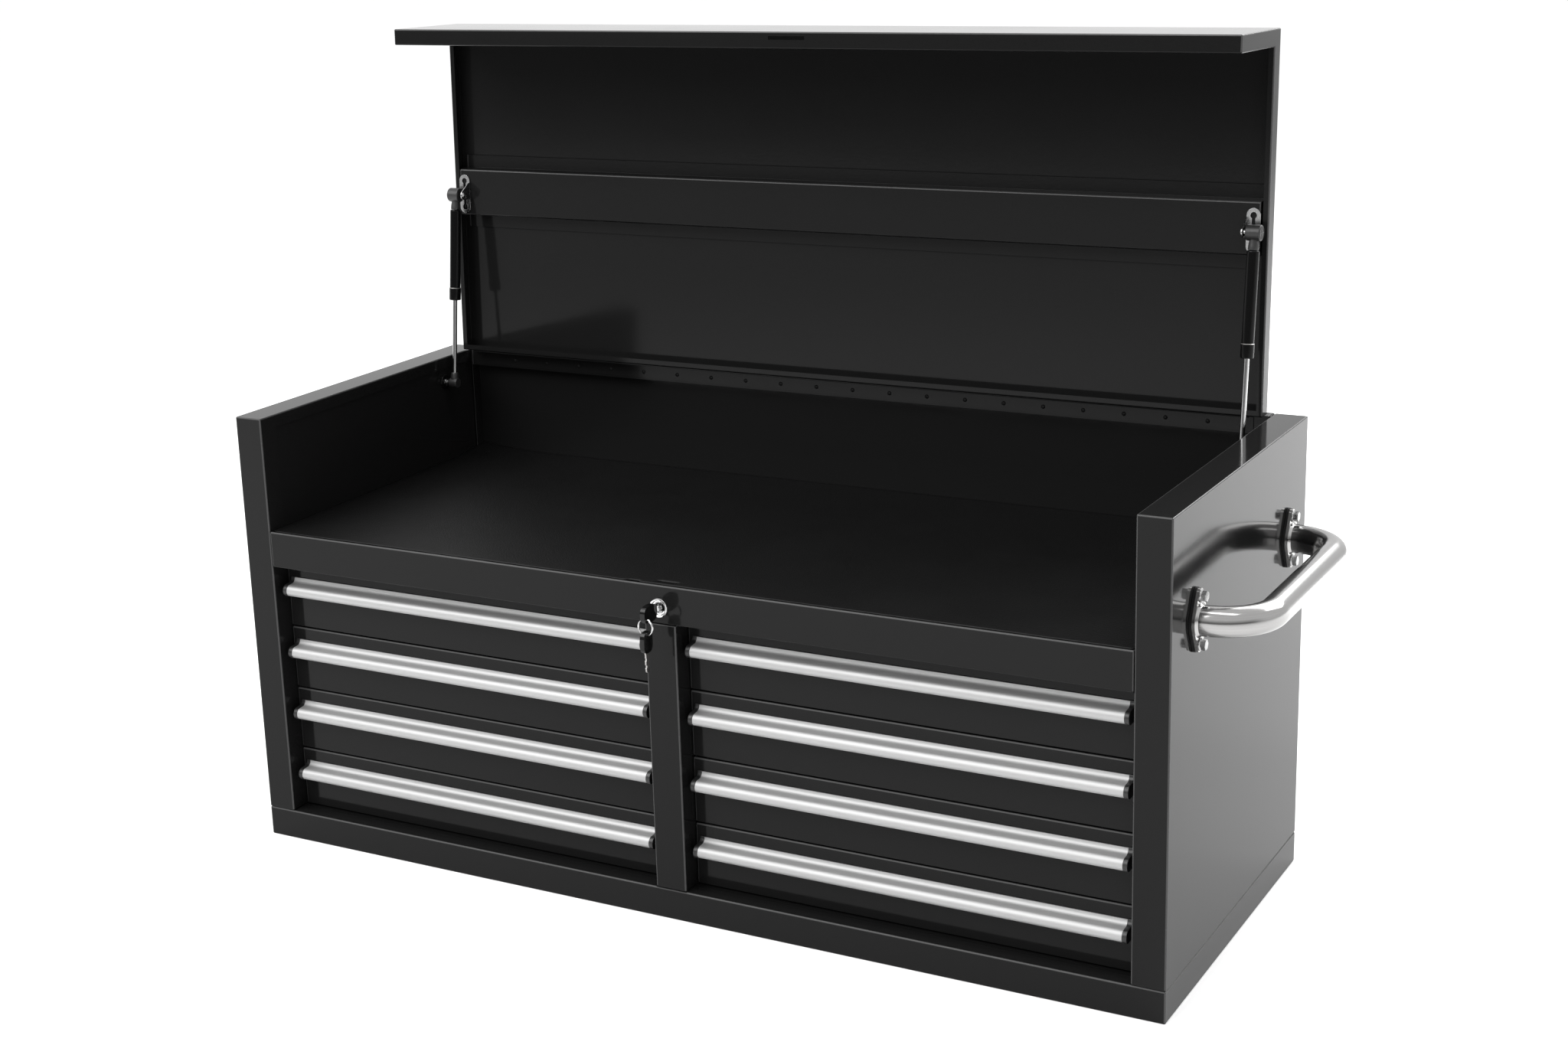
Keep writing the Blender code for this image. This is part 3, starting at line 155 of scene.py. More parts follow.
def new_group(name, *numbers):
    """A node group that makes colour, roughness and height from a vector, a colour and numbers."""
    tree = bpy.data.node_groups.new(name, "ShaderNodeTree")
    kinds = {"Vector": "NodeSocketVector", "Colour": "NodeSocketColor"}
    taken = ("Vector", "Colour", "Roughness", *numbers)
    for way, sockets in (("INPUT", taken), ("OUTPUT", ("Colour", "Roughness", "Height"))):
        for socket in sockets:
            kind = kinds.get(socket, "NodeSocketFloat")
            tree.interface.new_socket(socket, in_out=way, socket_type=kind)
    given = tree.nodes.new("NodeGroupInput").outputs
    return Graph(tree), given["Vector"], given, tree.nodes.new("NodeGroupOutput").inputs


def send_out(graph, given, out, shade, change, height):
    """Ends a group: its colour times a shade, its roughness plus a change, and its height."""
    graph.feed(out["Colour"], graph.tinted(given["Colour"], shade))
    graph.feed(out["Roughness"], graph.maths("ADD", given["Roughness"], change))
    graph.feed(out["Height"], height)
    return graph.tree


def make_sprayed_skin():
    """Baked-on paint: orange peel, fine specks and faint wiping marks."""
    graph, at, given, out = new_group("sprayed_skin", "Wiping", "Speck")
    wiping_way = graph.stretched(at, (9.0, 9.0, 40.0))
    peel = graph.noise(at, scale=260.0, detail=2.0, roughness=0.45)
    grit = graph.noise(at, scale=1700.0, detail=1.0)
    clouds = graph.noise(at, scale=7.0, detail=4.0, roughness=0.6)
    wiped = graph.noise(wiping_way, scale=1.0, detail=3.0)
    shade = graph.around_one(grit, given["Speck"])
    smear = graph.maths("MULTIPLY", graph.maths("MULTIPLY", clouds, wiped), given["Wiping"])
    height = graph.maths("ADD", peel, graph.maths("MULTIPLY", grit, 0.10))
    return send_out(graph, given, out, shade, smear, height)


def make_brushing():
    """Fine lines left by an abrasive belt, drawn along the first axis of the vector."""
    graph, at, given, out = new_group("brushing", "Contrast")
    fine_way = graph.stretched(at, (4.0, 1800.0, 1800.0))
    broad_way = graph.stretched(at, (0.8, 260.0, 260.0))
    lines = graph.noise(fine_way, scale=1.0, detail=3.0, roughness=0.65)
    bands = graph.noise(broad_way, scale=1.0, detail=2.0)
    both = graph.maths("MULTIPLY", graph.maths("ADD", lines, bands), 0.5)
    shade = graph.around_one(both, given["Contrast"])
    swing = graph.maths("MULTIPLY", graph.maths("SUBTRACT", bands, 0.5), given["Contrast"])
    return send_out(graph, given, out, shade, swing, lines)


def make_moulded_grain():
    """The fine leather-like grain of moulded plastic or rubber, with pale dust in patches."""
    graph, at, given, out = new_group("moulded_grain", "Grain", "Dust")
    cells = graph.add("ShaderNodeTexVoronoi", feature="SMOOTH_F1")
    graph.feed(cells.inputs["Vector"], at)
    graph.feed(cells.inputs["Scale"], given["Grain"])
    crumbs = graph.noise(at, scale=2600.0, detail=2.0)
    clouds = graph.noise(at, scale=14.0, detail=4.0, roughness=0.6)
    lint = graph.spread(graph.noise(at, scale=420.0, detail=1.0), -1.4, 1.0)
    dust = graph.maths("MULTIPLY", graph.maths("MAXIMUM", lint, 0.0), given["Dust"])
    pale = graph.maths("MULTIPLY", dust, 6.0)
    shade = graph.maths("ADD", graph.spread(clouds, 0.85, 1.15), pale)
    change = graph.maths("MULTIPLY", graph.maths("SUBTRACT", clouds, 0.5), 0.12)
    height = graph.maths("ADD", cells.outputs["Distance"], graph.maths("MULTIPLY", crumbs, 0.4))
    return send_out(graph, given, out, shade, change, height)


def make_plating():
    """Zinc or chrome plating: soft clouds, pinholes and light scuffs."""
    graph, at, given, out = new_group("plating", "Clouding")
    scuff_way = graph.stretched(at, (900.0, 140.0, 140.0))
    clouds = graph.noise(at, scale=90.0, detail=4.0, roughness=0.6)
    pits = graph.noise(at, scale=1400.0, detail=2.0)
    scuffs = graph.noise(scuff_way, scale=1.0, detail=2.0)
    shade = graph.spread(clouds, graph.maths("SUBTRACT", 1.0, given["Clouding"]), 1.05)
    patch = graph.maths("MULTIPLY", graph.maths("MULTIPLY", clouds, scuffs), given["Clouding"])
    height = graph.maths("ADD", graph.maths("MULTIPLY", pits, 0.5), scuffs)
    return send_out(graph, given, out, shade, patch, height)


SPRAYED_SKIN = make_sprayed_skin()
BRUSHING = make_brushing()
MOULDED_GRAIN = make_moulded_grain()
PLATING = make_plating()


def finish_from(name, group, slot, bump, metallic=0.0, ior=1.5, coordinates="Object", **values):
    """A material whose colour, roughness and relief come from a group; values go in its sockets."""
    material = bpy.data.materials.new(name)
    material.use_nodes = True
    material["slot"] = slot
    graph = Graph(material.node_tree)
    shader = material.node_tree.nodes["Principled BSDF"]
    place = graph.add("ShaderNodeTexCoord")
    skin = graph.add("ShaderNodeGroup")
    skin.node_tree = group
    graph.feed(skin.inputs["Vector"], place.outputs[coordinates])
    for socket, value in values.items():
        skin.inputs[socket].default_value = value
    relief = graph.add("ShaderNodeBump")
    relief.inputs["Strength"].default_value, relief.inputs["Distance"].default_value = bump
    graph.feed(relief.inputs["Height"], skin.outputs["Height"])
    graph.feed(shader.inputs["Base Color"], skin.outputs["Colour"])
    graph.feed(shader.inputs["Roughness"], skin.outputs["Roughness"])
    graph.feed(shader.inputs["Normal"], relief.outputs["Normal"])
    shader.inputs["Metallic"].default_value = metallic
    shader.inputs["IOR"].default_value = ior
    return material


def grey(value, warmth=0.0):
    return (value * (1 + warmth), value, value * (1 - warmth), 1)


# Bumps: strength, and height in metres.
PAINT_BUMP = (0.10, 0.0002)
POLISH_BUMP = (0.05, 0.0001)

GLOSS_PAINT = finish_from(
    "gloss_black_paint", SPRAYED_SKIN, "black_paint", PAINT_BUMP, ior=1.21,
    Colour=grey(0.0080), Roughness=0.07, Wiping=0.10, Speck=0.5,
)
# Lighter grey on folds and rims: a painted highlight where bends would catch the light.
FOLD_HIGHLIGHT_PAINT = finish_from(
    "painted_highlight_on_folds", SPRAYED_SKIN, "black_paint", PAINT_BUMP, ior=1.30,
    Colour=grey(0.045), Roughness=0.24, Wiping=0.10, Speck=0.4,
)
STRUT_PAINT = finish_from(
    "satin_strut_paint", SPRAYED_SKIN, "black_paint", PAINT_BUMP, ior=1.27,
    Colour=grey(0.0022), Roughness=0.13, Wiping=0.08, Speck=0.4,
)
ALUMINIUM = finish_from(
    "satin_anodised_aluminium", BRUSHING, "anodised_aluminium", POLISH_BUMP, metallic=0.75,
    Colour=grey(0.43), Roughness=0.56, Contrast=0.04,
)
HANDLE_STEEL = finish_from(
    "linished_stainless", BRUSHING, "stainless", (0.12, 0.0001), metallic=1.0, coordinates="UV",
    Colour=grey(0.33, 0.01), Roughness=0.17, Contrast=0.22,
)
FLANGE_STEEL = finish_from(
    "polished_stainless", PLATING, "stainless", (0.10, 0.0001), metallic=1.0,
    Colour=grey(0.42, 0.01), Roughness=0.12, Clouding=0.20,
)
ROD_CHROME = finish_from(
    "ground_chrome", BRUSHING, "chrome", POLISH_BUMP, metallic=1.0,
    Colour=grey(0.56), Roughness=0.10, Contrast=0.06,
)
LOCK_CHROME = finish_from(
    "bright_chrome", PLATING, "chrome", POLISH_BUMP, metallic=1.0,
    Colour=grey(0.66), Roughness=0.07, Clouding=0.12,
)
DULL_NICKEL = finish_from(
    "handled_nickel", PLATING, "chrome", (0.15, 0.0001), metallic=1.0,
    Colour=grey(0.42, 0.03), Roughness=0.30, Clouding=0.35,
)
BRIGHT_ZINC = finish_from(
    "bright_zinc", PLATING, "zinc", (0.20, 0.0002), metallic=1.0,
    Colour=grey(0.42), Roughness=0.15, Clouding=0.35,
)
CAP_PLASTIC = finish_from(
    "moulded_cap_plastic", MOULDED_GRAIN, "black_plastic", (0.25, 0.0002),
    Colour=grey(0.010), Roughness=0.38, Grain=1500.0, Dust=0.05,
)
SOCKET_PLASTIC = finish_from(
    "glass_filled_nylon", MOULDED_GRAIN, "black_plastic", (0.30, 0.0002),
    Colour=grey(0.012), Roughness=0.42, Grain=1100.0, Dust=0.10,
)
KEY_PLASTIC = finish_from(
    "glossy_key_plastic", MOULDED_GRAIN, "black_plastic", (0.03, 0.0002), ior=1.35,
    Colour=grey(0.003), Roughness=0.12, Grain=500.0, Dust=0.02,
)
MAT_RUBBER = finish_from(
    "fine_ribbed_rubber", MOULDED_GRAIN, "mat_rubber", (0.60, 0.0004), ior=1.30,
    Colour=grey(0.0012), Roughness=0.52, Grain=620.0, Dust=0.25,
)
GASKET_RUBBER = finish_from(
    "gasket_rubber", MOULDED_GRAIN, "mat_rubber", (0.30, 0.0002), ior=1.33,
    Colour=grey(0.004), Roughness=0.50, Grain=1300.0, Dust=0.10,
)


# Mesh building -------------------

MEET = 1e-6
RIM_ANGLE = radians(50)
FLAT_ANGLE = radians(0.5)


def moved(bm, place):
    """The same shape in its place; a mirrored one keeps its faces outward."""
    bmesh.ops.transform(bm, matrix=place, verts=bm.verts)
    if place.determinant() < 0:
        bmesh.ops.reverse_faces(bm, faces=bm.faces)
    return bm


def mesh_from(name, bm):
    mesh = bpy.data.meshes.new(name)
    bm.to_mesh(mesh)
    bm.free()
    return mesh


def in_scene(name, data):
    item = bpy.data.objects.new(name, data)
    bpy.context.scene.collection.objects.link(item)
    return item


def finish_piece(name, bm, material, body, replaces=(), place=None, smooth=35):
    """Puts a shape in the scene with its finish, and lets it ride on its body."""
    mesh = mesh_from(name, bm if place is None else moved(bm, place))
    mesh.shade_smooth()
    mesh.set_sharp_from_angle(angle=radians(smooth))
    mesh.materials.append(material)
    piece = in_scene(name, mesh)
    piece.modifiers.new("even shading", "WEIGHTED_NORMAL").keep_sharp = True
    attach(piece, body)
    if replaces:
        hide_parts(*replaces)
    return piece


def merged(parts):
    """One bmesh from several, which are freed."""
    whole = bmesh.new()
    for part in parts:
        mesh = mesh_from("part", part)
        whole.from_mesh(mesh)
        bpy.data.meshes.remove(mesh)
    return whole


def bevel_edges(bm, edges, width, segments, **settings):
    bmesh.ops.bevel(
        bm, geom=edges, offset=width, segments=segments, profile=0.5, affect="EDGES", **settings
    )


def sharp_edges(bm):
    edges = [edge for edge in bm.edges if len(edge.link_faces) == 2]
    return [edge for edge in edges if edge.calc_face_angle() > RIM_ANGLE]


def turned(profile, steps=48):
    """A profile of radius and height turned about Z; it runs from the top down."""
    bm = bmesh.new()
    ring = [bm.verts.new((radius, 0, height)) for radius, height in profile]
    edges = [bm.edges.new(pair) for pair in zip(ring, ring[1:])]
    bmesh.ops.spin(
        bm, geom=ring + edges, cent=(0, 0, 0), axis=Z_AXIS, angle=tau, steps=steps,
        use_merge=True,
    )
    bmesh.ops.remove_doubles(bm, verts=bm.verts, dist=MEET)
    bmesh.ops.recalc_face_normals(bm, faces=bm.faces)
    return bm


def from_corner(radius, height, steps):
    """Profile points, each given as a step out and up from one corner."""
    return [(radius + out, height + up) for out, up in steps]


def arc(centre, radius, first, last, steps):
    """Points along a circle's arc, from one angle in degrees to the other."""
    points = []
    for i in range(steps + 1):
        angle = radians(first + (last - first) * i / steps)
        points.append((centre[0] + radius * cos(angle), centre[1] + radius * sin(angle)))
    return points


def circle(centre, radius, steps=24):
    return arc(centre, radius, 0, 360, steps)[:-1]


def plate(outline, thickness, holes=(), round_width=0.0, segments=2):
    """A flat plate about the XY plane with any holes, its rims rounded."""
    curve = bpy.data.curves.new("plate", "CURVE")
    curve.dimensions = "2D"
    curve.fill_mode = "BOTH"
    curve.extrude = thickness / 2
    for points in (outline, *holes):
        spline = curve.splines.new("POLY")
        spline.points.add(len(points) - 1)
        for point, (across, up) in zip(spline.points, points):
            point.co = (across, up, 0, 1)
        spline.use_cyclic_u = True
    holder = in_scene("plate", curve)
    bpy.context.view_layer.update()
    graph = bpy.context.evaluated_depsgraph_get()
    mesh = bpy.data.meshes.new_from_object(holder.evaluated_get(graph))
    bpy.data.objects.remove(holder)
    bpy.data.curves.remove(curve)
    bm = bmesh.new()
    bm.from_mesh(mesh)
    bpy.data.meshes.remove(mesh)
    bmesh.ops.remove_doubles(bm, verts=bm.verts, dist=MEET)
    bmesh.ops.dissolve_limit(bm, angle_limit=FLAT_ANGLE, verts=bm.verts, edges=bm.edges)
    bmesh.ops.recalc_face_normals(bm, faces=bm.faces)
    if round_width:
        bevel_edges(bm, sharp_edges(bm), round_width, segments, clamp_overlap=True)
    return bm


def swept(points, radius, sides):
    """A round bar along a path, with its length and its way round kept as UVs in metres."""
    bm = bmesh.new()
    uv_layer = bm.loops.layers.uv.new("run")
    rings = []
    normal = (points[1] - points[0]).normalized().orthogonal().normalized()
    run = 0.0
    for i, point in enumerate(points):
        before = points[max(i - 1, 0)]
        after = points[min(i + 1, len(points) - 1)]
        tangent = (after - before).normalized()
        normal = (normal - tangent * normal.dot(tangent)).normalized()
        side = tangent.cross(normal)
        ring = []
        for k in range(sides):
            angle = tau * k / sides
            spoke = normal * cos(angle) + side * sin(angle)
            ring.append(bm.verts.new(point + spoke * radius))
        run += (point - before).length
        rings.append((ring, run))
    around = tau * radius / sides
    for (ring, start), (next_ring, end) in zip(rings, rings[1:]):
        for k in range(sides):
            far = (k + 1) % sides
            face = bm.faces.new((ring[k], ring[far], next_ring[far], next_ring[k]))
            corners = ((start, k), (start, k + 1), (end, k + 1), (end, k))
            for loop, (along, step) in zip(face.loops, corners):
                loop[uv_layer].uv = (along, step * around)
    bm.faces.new(list(reversed(rings[0][0])))
    bm.faces.new(rings[-1][0])
    return bm


def axes(x_way, y_way, z_way, origin=(0, 0, 0)):
    """Lays the local axes along three ways from an origin."""
    return shift(origin) @ Matrix((x_way, y_way, z_way)).transposed().to_4x4()


def facing(direction, origin=(0, 0, 0), up=Z_AXIS):
    """Lays local Z along a direction and local Y as near to up as it goes."""
    z_way = Vector(direction).normalized()
    x_way = up.cross(z_way).normalized()
    return axes(x_way, z_way.cross(x_way), z_way, origin)


def reach_along(node, origin, axis):
    """How far a node reaches along an axis from a point: lowest and highest."""
    points = [(vertex.co - origin).dot(axis) for vertex in frame["nodes"][node].data.vertices]
    return min(points), max(points)


# Sheet steel ---------------------

SHEET = 0.0012
FOLD_RADIUS = 0.0016
RIM_ROUND = 0.00025
EDGE_ROUND = 0.0003
DRAWER_FRONT_DEPTH = 0.012
CAD_MEET = 2e-5
WELD_MEET = 1e-5
CAD_FLAT_ANGLE = radians(1)
FOLD_ANGLE = radians(40)
CUT_FACE_SHARE = 1.4
# Faces that look further down than this keep the dark paint, without the painted fold highlight.
NO_HIGHLIGHT_BELOW = -0.1


def is_thin(face):
    """True for the narrow face along a sheet's cut edge."""
    longest = max(edge.calc_length() for edge in face.edges)
    return face.calc_area() < longest * CUT_FACE_SHARE * SHEET


def bent_edges(bm, way, within=None):
    """Edges where the sheet is folded: outside of the bend for way 1, inside of it for -1."""
    found = []
    for edge in bm.edges:
        if len(edge.link_faces) != 2 or any(is_thin(face) for face in edge.link_faces):
            continue
        if within is not None and any(vertex.co.y > within for vertex in edge.verts):
            continue
        if edge.calc_face_angle_signed() * way > FOLD_ANGLE:
            found.append(edge)
    return found


def fold_sheet(node, within=None):
    """A CAD sheet again, with its folds bent to a radius and its cut edges eased.

    Folds and rims get a lighter paint as a painted highlight, except where they look down.
    """
    bm = bmesh.new()
    bm.from_mesh(frame["nodes"][node].data)
    bmesh.ops.remove_doubles(bm, verts=bm.verts, dist=CAD_MEET)
    bmesh.ops.dissolve_limit(bm, angle_limit=CAD_FLAT_ANGLE, verts=bm.verts, edges=bm.edges)
    # The outsides of bends and the rims take the second material, the painted highlight.
    bevel_edges(bm, bent_edges(bm, 1, within), FOLD_RADIUS, 4, material=1)
    bevel_edges(bm, bent_edges(bm, -1, within), FOLD_RADIUS - SHEET, 2)
    rims = [
        edge
        for edge in sharp_edges(bm)
        if any(is_thin(face) for face in edge.link_faces)
        and (within is None or all(vertex.co.y < within for vertex in edge.verts))
    ]
    bevel_edges(bm, rims, RIM_ROUND, 1, clamp_overlap=True, material=1)
    bm.normal_update()
    # Down-facing faces go back to the dark paint, so the painted highlight shows only on bends facing up.
    for face in bm.faces:
        if face.normal.z < NO_HIGHLIGHT_BELOW:
            face.material_index = 0
    piece = finish_piece(f"{node}_sheet", bm, GLOSS_PAINT, BODY_OF[node], [node], smooth=30)
    piece.data.materials.append(FOLD_HIGHLIGHT_PAINT)


def dress(node, material, round_width=EDGE_ROUND):
    """Keeps a CAD node, eases its edges and gives it its finish."""
    part = frame["nodes"][node]
    part.modifiers.new("weld", "WELD").merge_threshold = WELD_MEET
    if round_width:
        bevel = part.modifiers.new("eased", "BEVEL")
        bevel.width = round_width
        bevel.segments = 2
        bevel.limit_method = "ANGLE"
        bevel.angle_limit = FOLD_ANGLE
        part.modifiers.new("even", "WEIGHTED_NORMAL")
    part.data.materials.clear()
    part.data.materials.append(material)


def dress_sheets():
    for node in ("base_pan", "left_side_panel", "right_side_panel", "back_panel", "hinge_rail",
                 "header_rail", "centre_post", "lid_shell", "lid_stiffener"):
        fold_sheet(node)
    for node in DRAWERS:
        fold_sheet(node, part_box(node)[0].y + DRAWER_FRONT_DEPTH + SHEET)
    for node in ("left_liner", "right_liner", "tray_floor", "centre_partition"):
        dress(node, GLOSS_PAINT)
    for node in ("hinge_leaf_body", "hinge_leaf_lid"):
        dress(node, GLOSS_PAINT, 0)
    racks = [f"{side}_{place}_slide_rack" for side in SIDES for place in ("inner", "outer")]
    for node in ("lock_bar", "hinge_pin", *racks):
        dress(node, BRIGHT_ZINC, 0)


# Drawer pulls --------------------

PULL_MARGIN = 0.0006
PULL_GAP = 0.0003
PULL_DROP = 0.0203
PULL_WALL = 0.0018
PULL_LEG = 0.0016
CAP_LENGTH = 0.0055
CAP_ROUND = 0.0007
COVE_RADIUS = 0.0063
COVE_ANGLES = (180, 97)
COVE_BACK_ANGLES = (97, 141)
NOSE_RADIUS = 0.0070
NOSE_CENTRE = (0.0122, 0.0136)
NOSE_ANGLES = (-85, 72)
NOSE_BACK_ANGLES = (72, -85)


def ogee(grow=0.0):
    """Cove then nose: distances forward from the drawer's face and down from the pull's top."""
    cove = arc((PULL_LEG + COVE_RADIUS, -grow), COVE_RADIUS, *COVE_ANGLES, 14)
    return cove + arc(NOSE_CENTRE, NOSE_RADIUS + grow, *NOSE_ANGLES, 28)


def ogee_inside():
    nose = arc(NOSE_CENTRE, NOSE_RADIUS - PULL_WALL, *NOSE_BACK_ANGLES, 20)
    return nose + arc((PULL_LEG + COVE_RADIUS, 0), COVE_RADIUS + PULL_WALL, *COVE_BACK_ANGLES, 8)


def build_pulls():
    leg_end = [(PULL_LEG, PULL_DROP), (PULL_GAP, PULL_DROP)]
    foot = PULL_DROP + PULL_MARGIN
    cap_outline = [(PULL_GAP, -PULL_MARGIN), *ogee(PULL_MARGIN), (PULL_LEG, foot), (PULL_GAP, foot)]
    low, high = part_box(f"{DRAWERS[0]}_pull")
    half = (high.x - low.x) / 2 - CAP_LENGTH
    section = plate([(PULL_GAP, 0.0), *ogee(), *ogee_inside(), *leg_end], 2 * half)
    cap = plate(cap_outline, CAP_LENGTH, round_width=CAP_ROUND, segments=3)
    for drawer in DRAWERS:
        node = f"{drawer}_pull"
        low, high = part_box(node)
        middle = ((low.x + high.x) / 2, high.y + PULL_GAP, high.z - PULL_MARGIN)
        place = axes(-Y_AXIS, -Z_AXIS, X_AXIS, middle)
        finish_piece(f"{node}_section", section.copy(), ALUMINIUM, drawer, [node], place, 30)
        for side, way in SIDES.items():
            end = shift((way * (half + CAP_LENGTH / 2), 0, 0)) @ place
            finish_piece(f"{node}_{side}_cap", cap.copy(), CAP_PLASTIC, drawer, place=end)
    section.free()
    cap.free()


# Gas struts ----------------------
# Each profile is a row of radii and heights, most of them steps from a corner.

TUBE_RADIUS = 0.0070
TUBE_BELOW_BALL = 0.019
TUBE_BORE = 0.0035
TUBE_BORE_DEPTH = 0.1150
TUBE_SHOULDER = ((-0.0016, 0), (-0.0007, -0.0004), (-0.0002, -0.0010), (0, -0.0018))
TUBE_FOOT = ((0, 0.0006), (-0.0004, 0))
COLLAR_RADIUS = 0.0076
COLLAR_LENGTH = 0.0160
COLLAR_UNDER_RING = 0.0004
COLLAR_FOOT = ((0, 0.0014), (-0.0004, 0.0005), (-0.0014, 0), (-0.0032, 0))
COLLAR_MOUTH_DEPTH = 0.0010
COLLAR_RING = ((-0.0004, 0.0005), (0, 0.0001), (0, -0.0003), (-0.0012, -0.0003),
               (-0.0012, 0.0005), (-0.0004, 0.0005))
ROD_RADIUS = 0.0030
ROD_START = 0.0120
ROD_IN_TUBE = 0.010
UPPER_NECK = ((0, -0.004), (0.0052, -0.004), (0.0052, -0.0100), (0.0058, -0.0135),
              (0.0061, -0.0178), (0.0056, -0.0187), (0, -0.0187))
LOWER_NECK = ((0, 0.0134), (0.0040, 0.0134), (0.0046, 0.0126), (0.0050, 0.0100),
              (0.0050, 0.0030), (0, 0.0030))
UPPER_DRUM = (0.0090, 0.0082)
LOWER_DRUM = (0.0065, 0.0060)

# Ball socket drums: shares of the radius, angles round the rim, and lengths.
DRUM_EASE = 0.0012
DRUM_EASE_ANGLES = (0.4, 0.8, 1.2)
DISH_SHARES = (0.55, 0.5)
DISH_DEPTH = 0.002
RIB_RING_SHARES = (0.72, 0.80)
RIB_REACH_SHARE = 0.76
RIB_HALF_WIDTH = 0.0006
RIB_PROUD = 0.0004
RIB_SUNK = 0.0002


def block(low, high):
    low = Vector(low)
    high = Vector(high)
    place = shift((low + high) / 2) @ Matrix.Diagonal((*(high - low), 1))
    bm = bmesh.new()
    bmesh.ops.create_cube(bm, size=1.0, matrix=place)
    return bm


def drum(radius, half_length, way, ribs=True):
    """A ball socket along X: eased rims, a dished inner face, a ring and a cross outside."""
    shoulder = radius - DRUM_EASE
    end = half_length - DRUM_EASE
    eased = [(DRUM_EASE * sin(a), DRUM_EASE * cos(a)) for a in DRUM_EASE_ANGLES]
    dish_rim, dish_floor = (radius * share for share in DISH_SHARES)
    profile = [(0, half_length), (shoulder, half_length), *from_corner(shoulder, end, eased)]
    profile += [(radius, end), (radius, -end)]
    profile += [(shoulder + up, -end - out) for out, up in eased]
    profile += [(shoulder, -half_length), (dish_rim, -half_length)]
    profile += [(dish_floor, DISH_DEPTH - half_length), (0, DISH_DEPTH - half_length)]
    parts = [turned(profile, 40)]
    if ribs:
        low = half_length - RIB_SUNK
        high = half_length + RIB_PROUD
        inner, outer = (radius * share for share in RIB_RING_SHARES)
        ring = [(inner, high), (outer, high), (outer, low), (inner, low), (inner, high)]
        parts.append(turned(ring, 40))
        reach = radius * RIB_REACH_SHARE
        for turn in range(2):
            rib = block((-reach, -RIB_HALF_WIDTH, low), (reach, RIB_HALF_WIDTH, high))
            parts.append(moved(rib, Matrix.Rotation(turn * pi / 2, 4, "Z")))
    return moved(merged(parts), facing(way * X_AXIS))


def build_strut(side, way):
    lower = Vector(JOINTS[f"{side}_strut_turn"]["pos_m"])
    axis = Vector(JOINTS[f"{side}_strut_stroke"]["axis"]).normalized()
    rod_node = f"{side}_strut_rod"
    tube_node = f"{side}_strut_cylinder"
    place = facing(axis, lower, X_AXIS)
    foot, top_end = reach_along(tube_node, lower, axis)
    ball = top_end - UPPER_DRUM[0]
    tube_top = ball - TUBE_BELOW_BALL
    collar_top = foot + COLLAR_LENGTH
    collar_end = collar_top - COLLAR_UNDER_RING
    bore_top = foot + TUBE_BORE_DEPTH
    rod_top = foot + ROD_IN_TUBE

    tube = [
        (0, tube_top), *from_corner(TUBE_RADIUS, tube_top, TUBE_SHOULDER),
        *from_corner(TUBE_RADIUS, collar_top, TUBE_FOOT), (TUBE_BORE, collar_top),
        (TUBE_BORE, bore_top), (0, bore_top),
    ]
    ring = from_corner(COLLAR_RADIUS, collar_top, COLLAR_RING)
    collar = [
        (TUBE_BORE, collar_end), (COLLAR_RADIUS, collar_end),
        *from_corner(COLLAR_RADIUS, foot, COLLAR_FOOT), (TUBE_BORE, foot + COLLAR_MOUTH_DEPTH),
        (TUBE_BORE, collar_end),
    ]
    rod = [(0, rod_top), (ROD_RADIUS, rod_top), (ROD_RADIUS, ROD_START), (0, ROD_START)]
    sockets = []
    for neck, end, at in (
        (from_corner(0, ball, UPPER_NECK), drum(*UPPER_DRUM, way), lower + axis * ball),
        (LOWER_NECK, drum(*LOWER_DRUM, -way, ribs=False), lower),
    ):
        end = moved(end, shift(at))
        sockets.append(merged([moved(turned(neck, 32), place), end]))
    for name, shape, material, body, replaces in (
        ("tube", moved(turned(tube), place), STRUT_PAINT, tube_node, [tube_node]),
        ("collar_ring", moved(turned(ring), place), DULL_NICKEL, tube_node, ()),
        ("collar", moved(turned(collar), place), STRUT_PAINT, tube_node, ()),
        ("upper_socket", sockets[0], SOCKET_PLASTIC, tube_node, ()),
        ("piston_rod", moved(turned(rod), place), ROD_CHROME, rod_node, ()),
        ("lower_socket", sockets[1], SOCKET_PLASTIC, rod_node, [rod_node]),
    ):
        finish_piece(f"{side}_strut_{name}", shape, material, body, replaces)
    build_stud(side, way, lower)
    build_bracket(side, way)


STUD_NECK_RADIUS = 0.0030
STUD_WASHER = ((0, 0.0020), (0.0090, 0.0020), (0.0097, 0.0016), (0.0100, 0.0010),
               (0.0100, 0), (0, 0))
STUD_NECK = ((STUD_NECK_RADIUS, 0.0046), (0.0048, 0.0042), (0.0050, 0.0036),
             (0.0050, 0.0018), (0, 0.0018))


def build_stud(side, way, lower):
    """The lower ball stud: a painted washer on the liner and a neck into the socket."""
    node = f"{side}_lower_ball_stud"
    low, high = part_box(node)
    foot = abs(lower.x) - (high.x if way > 0 else -low.x)
    place = facing(-way * X_AXIS, lower)
    washer = turned(from_corner(0, foot, STUD_WASHER), 40)
    finish_piece(f"{node}_washer", washer, STRUT_PAINT, "chest", [node], place)
    neck = [(0, 0.0), (STUD_NECK_RADIUS, 0.0), *from_corner(0, foot, STUD_NECK)]
    finish_piece(f"{node}_neck", turned(neck, 32), BRIGHT_ZINC, "chest", place=place)


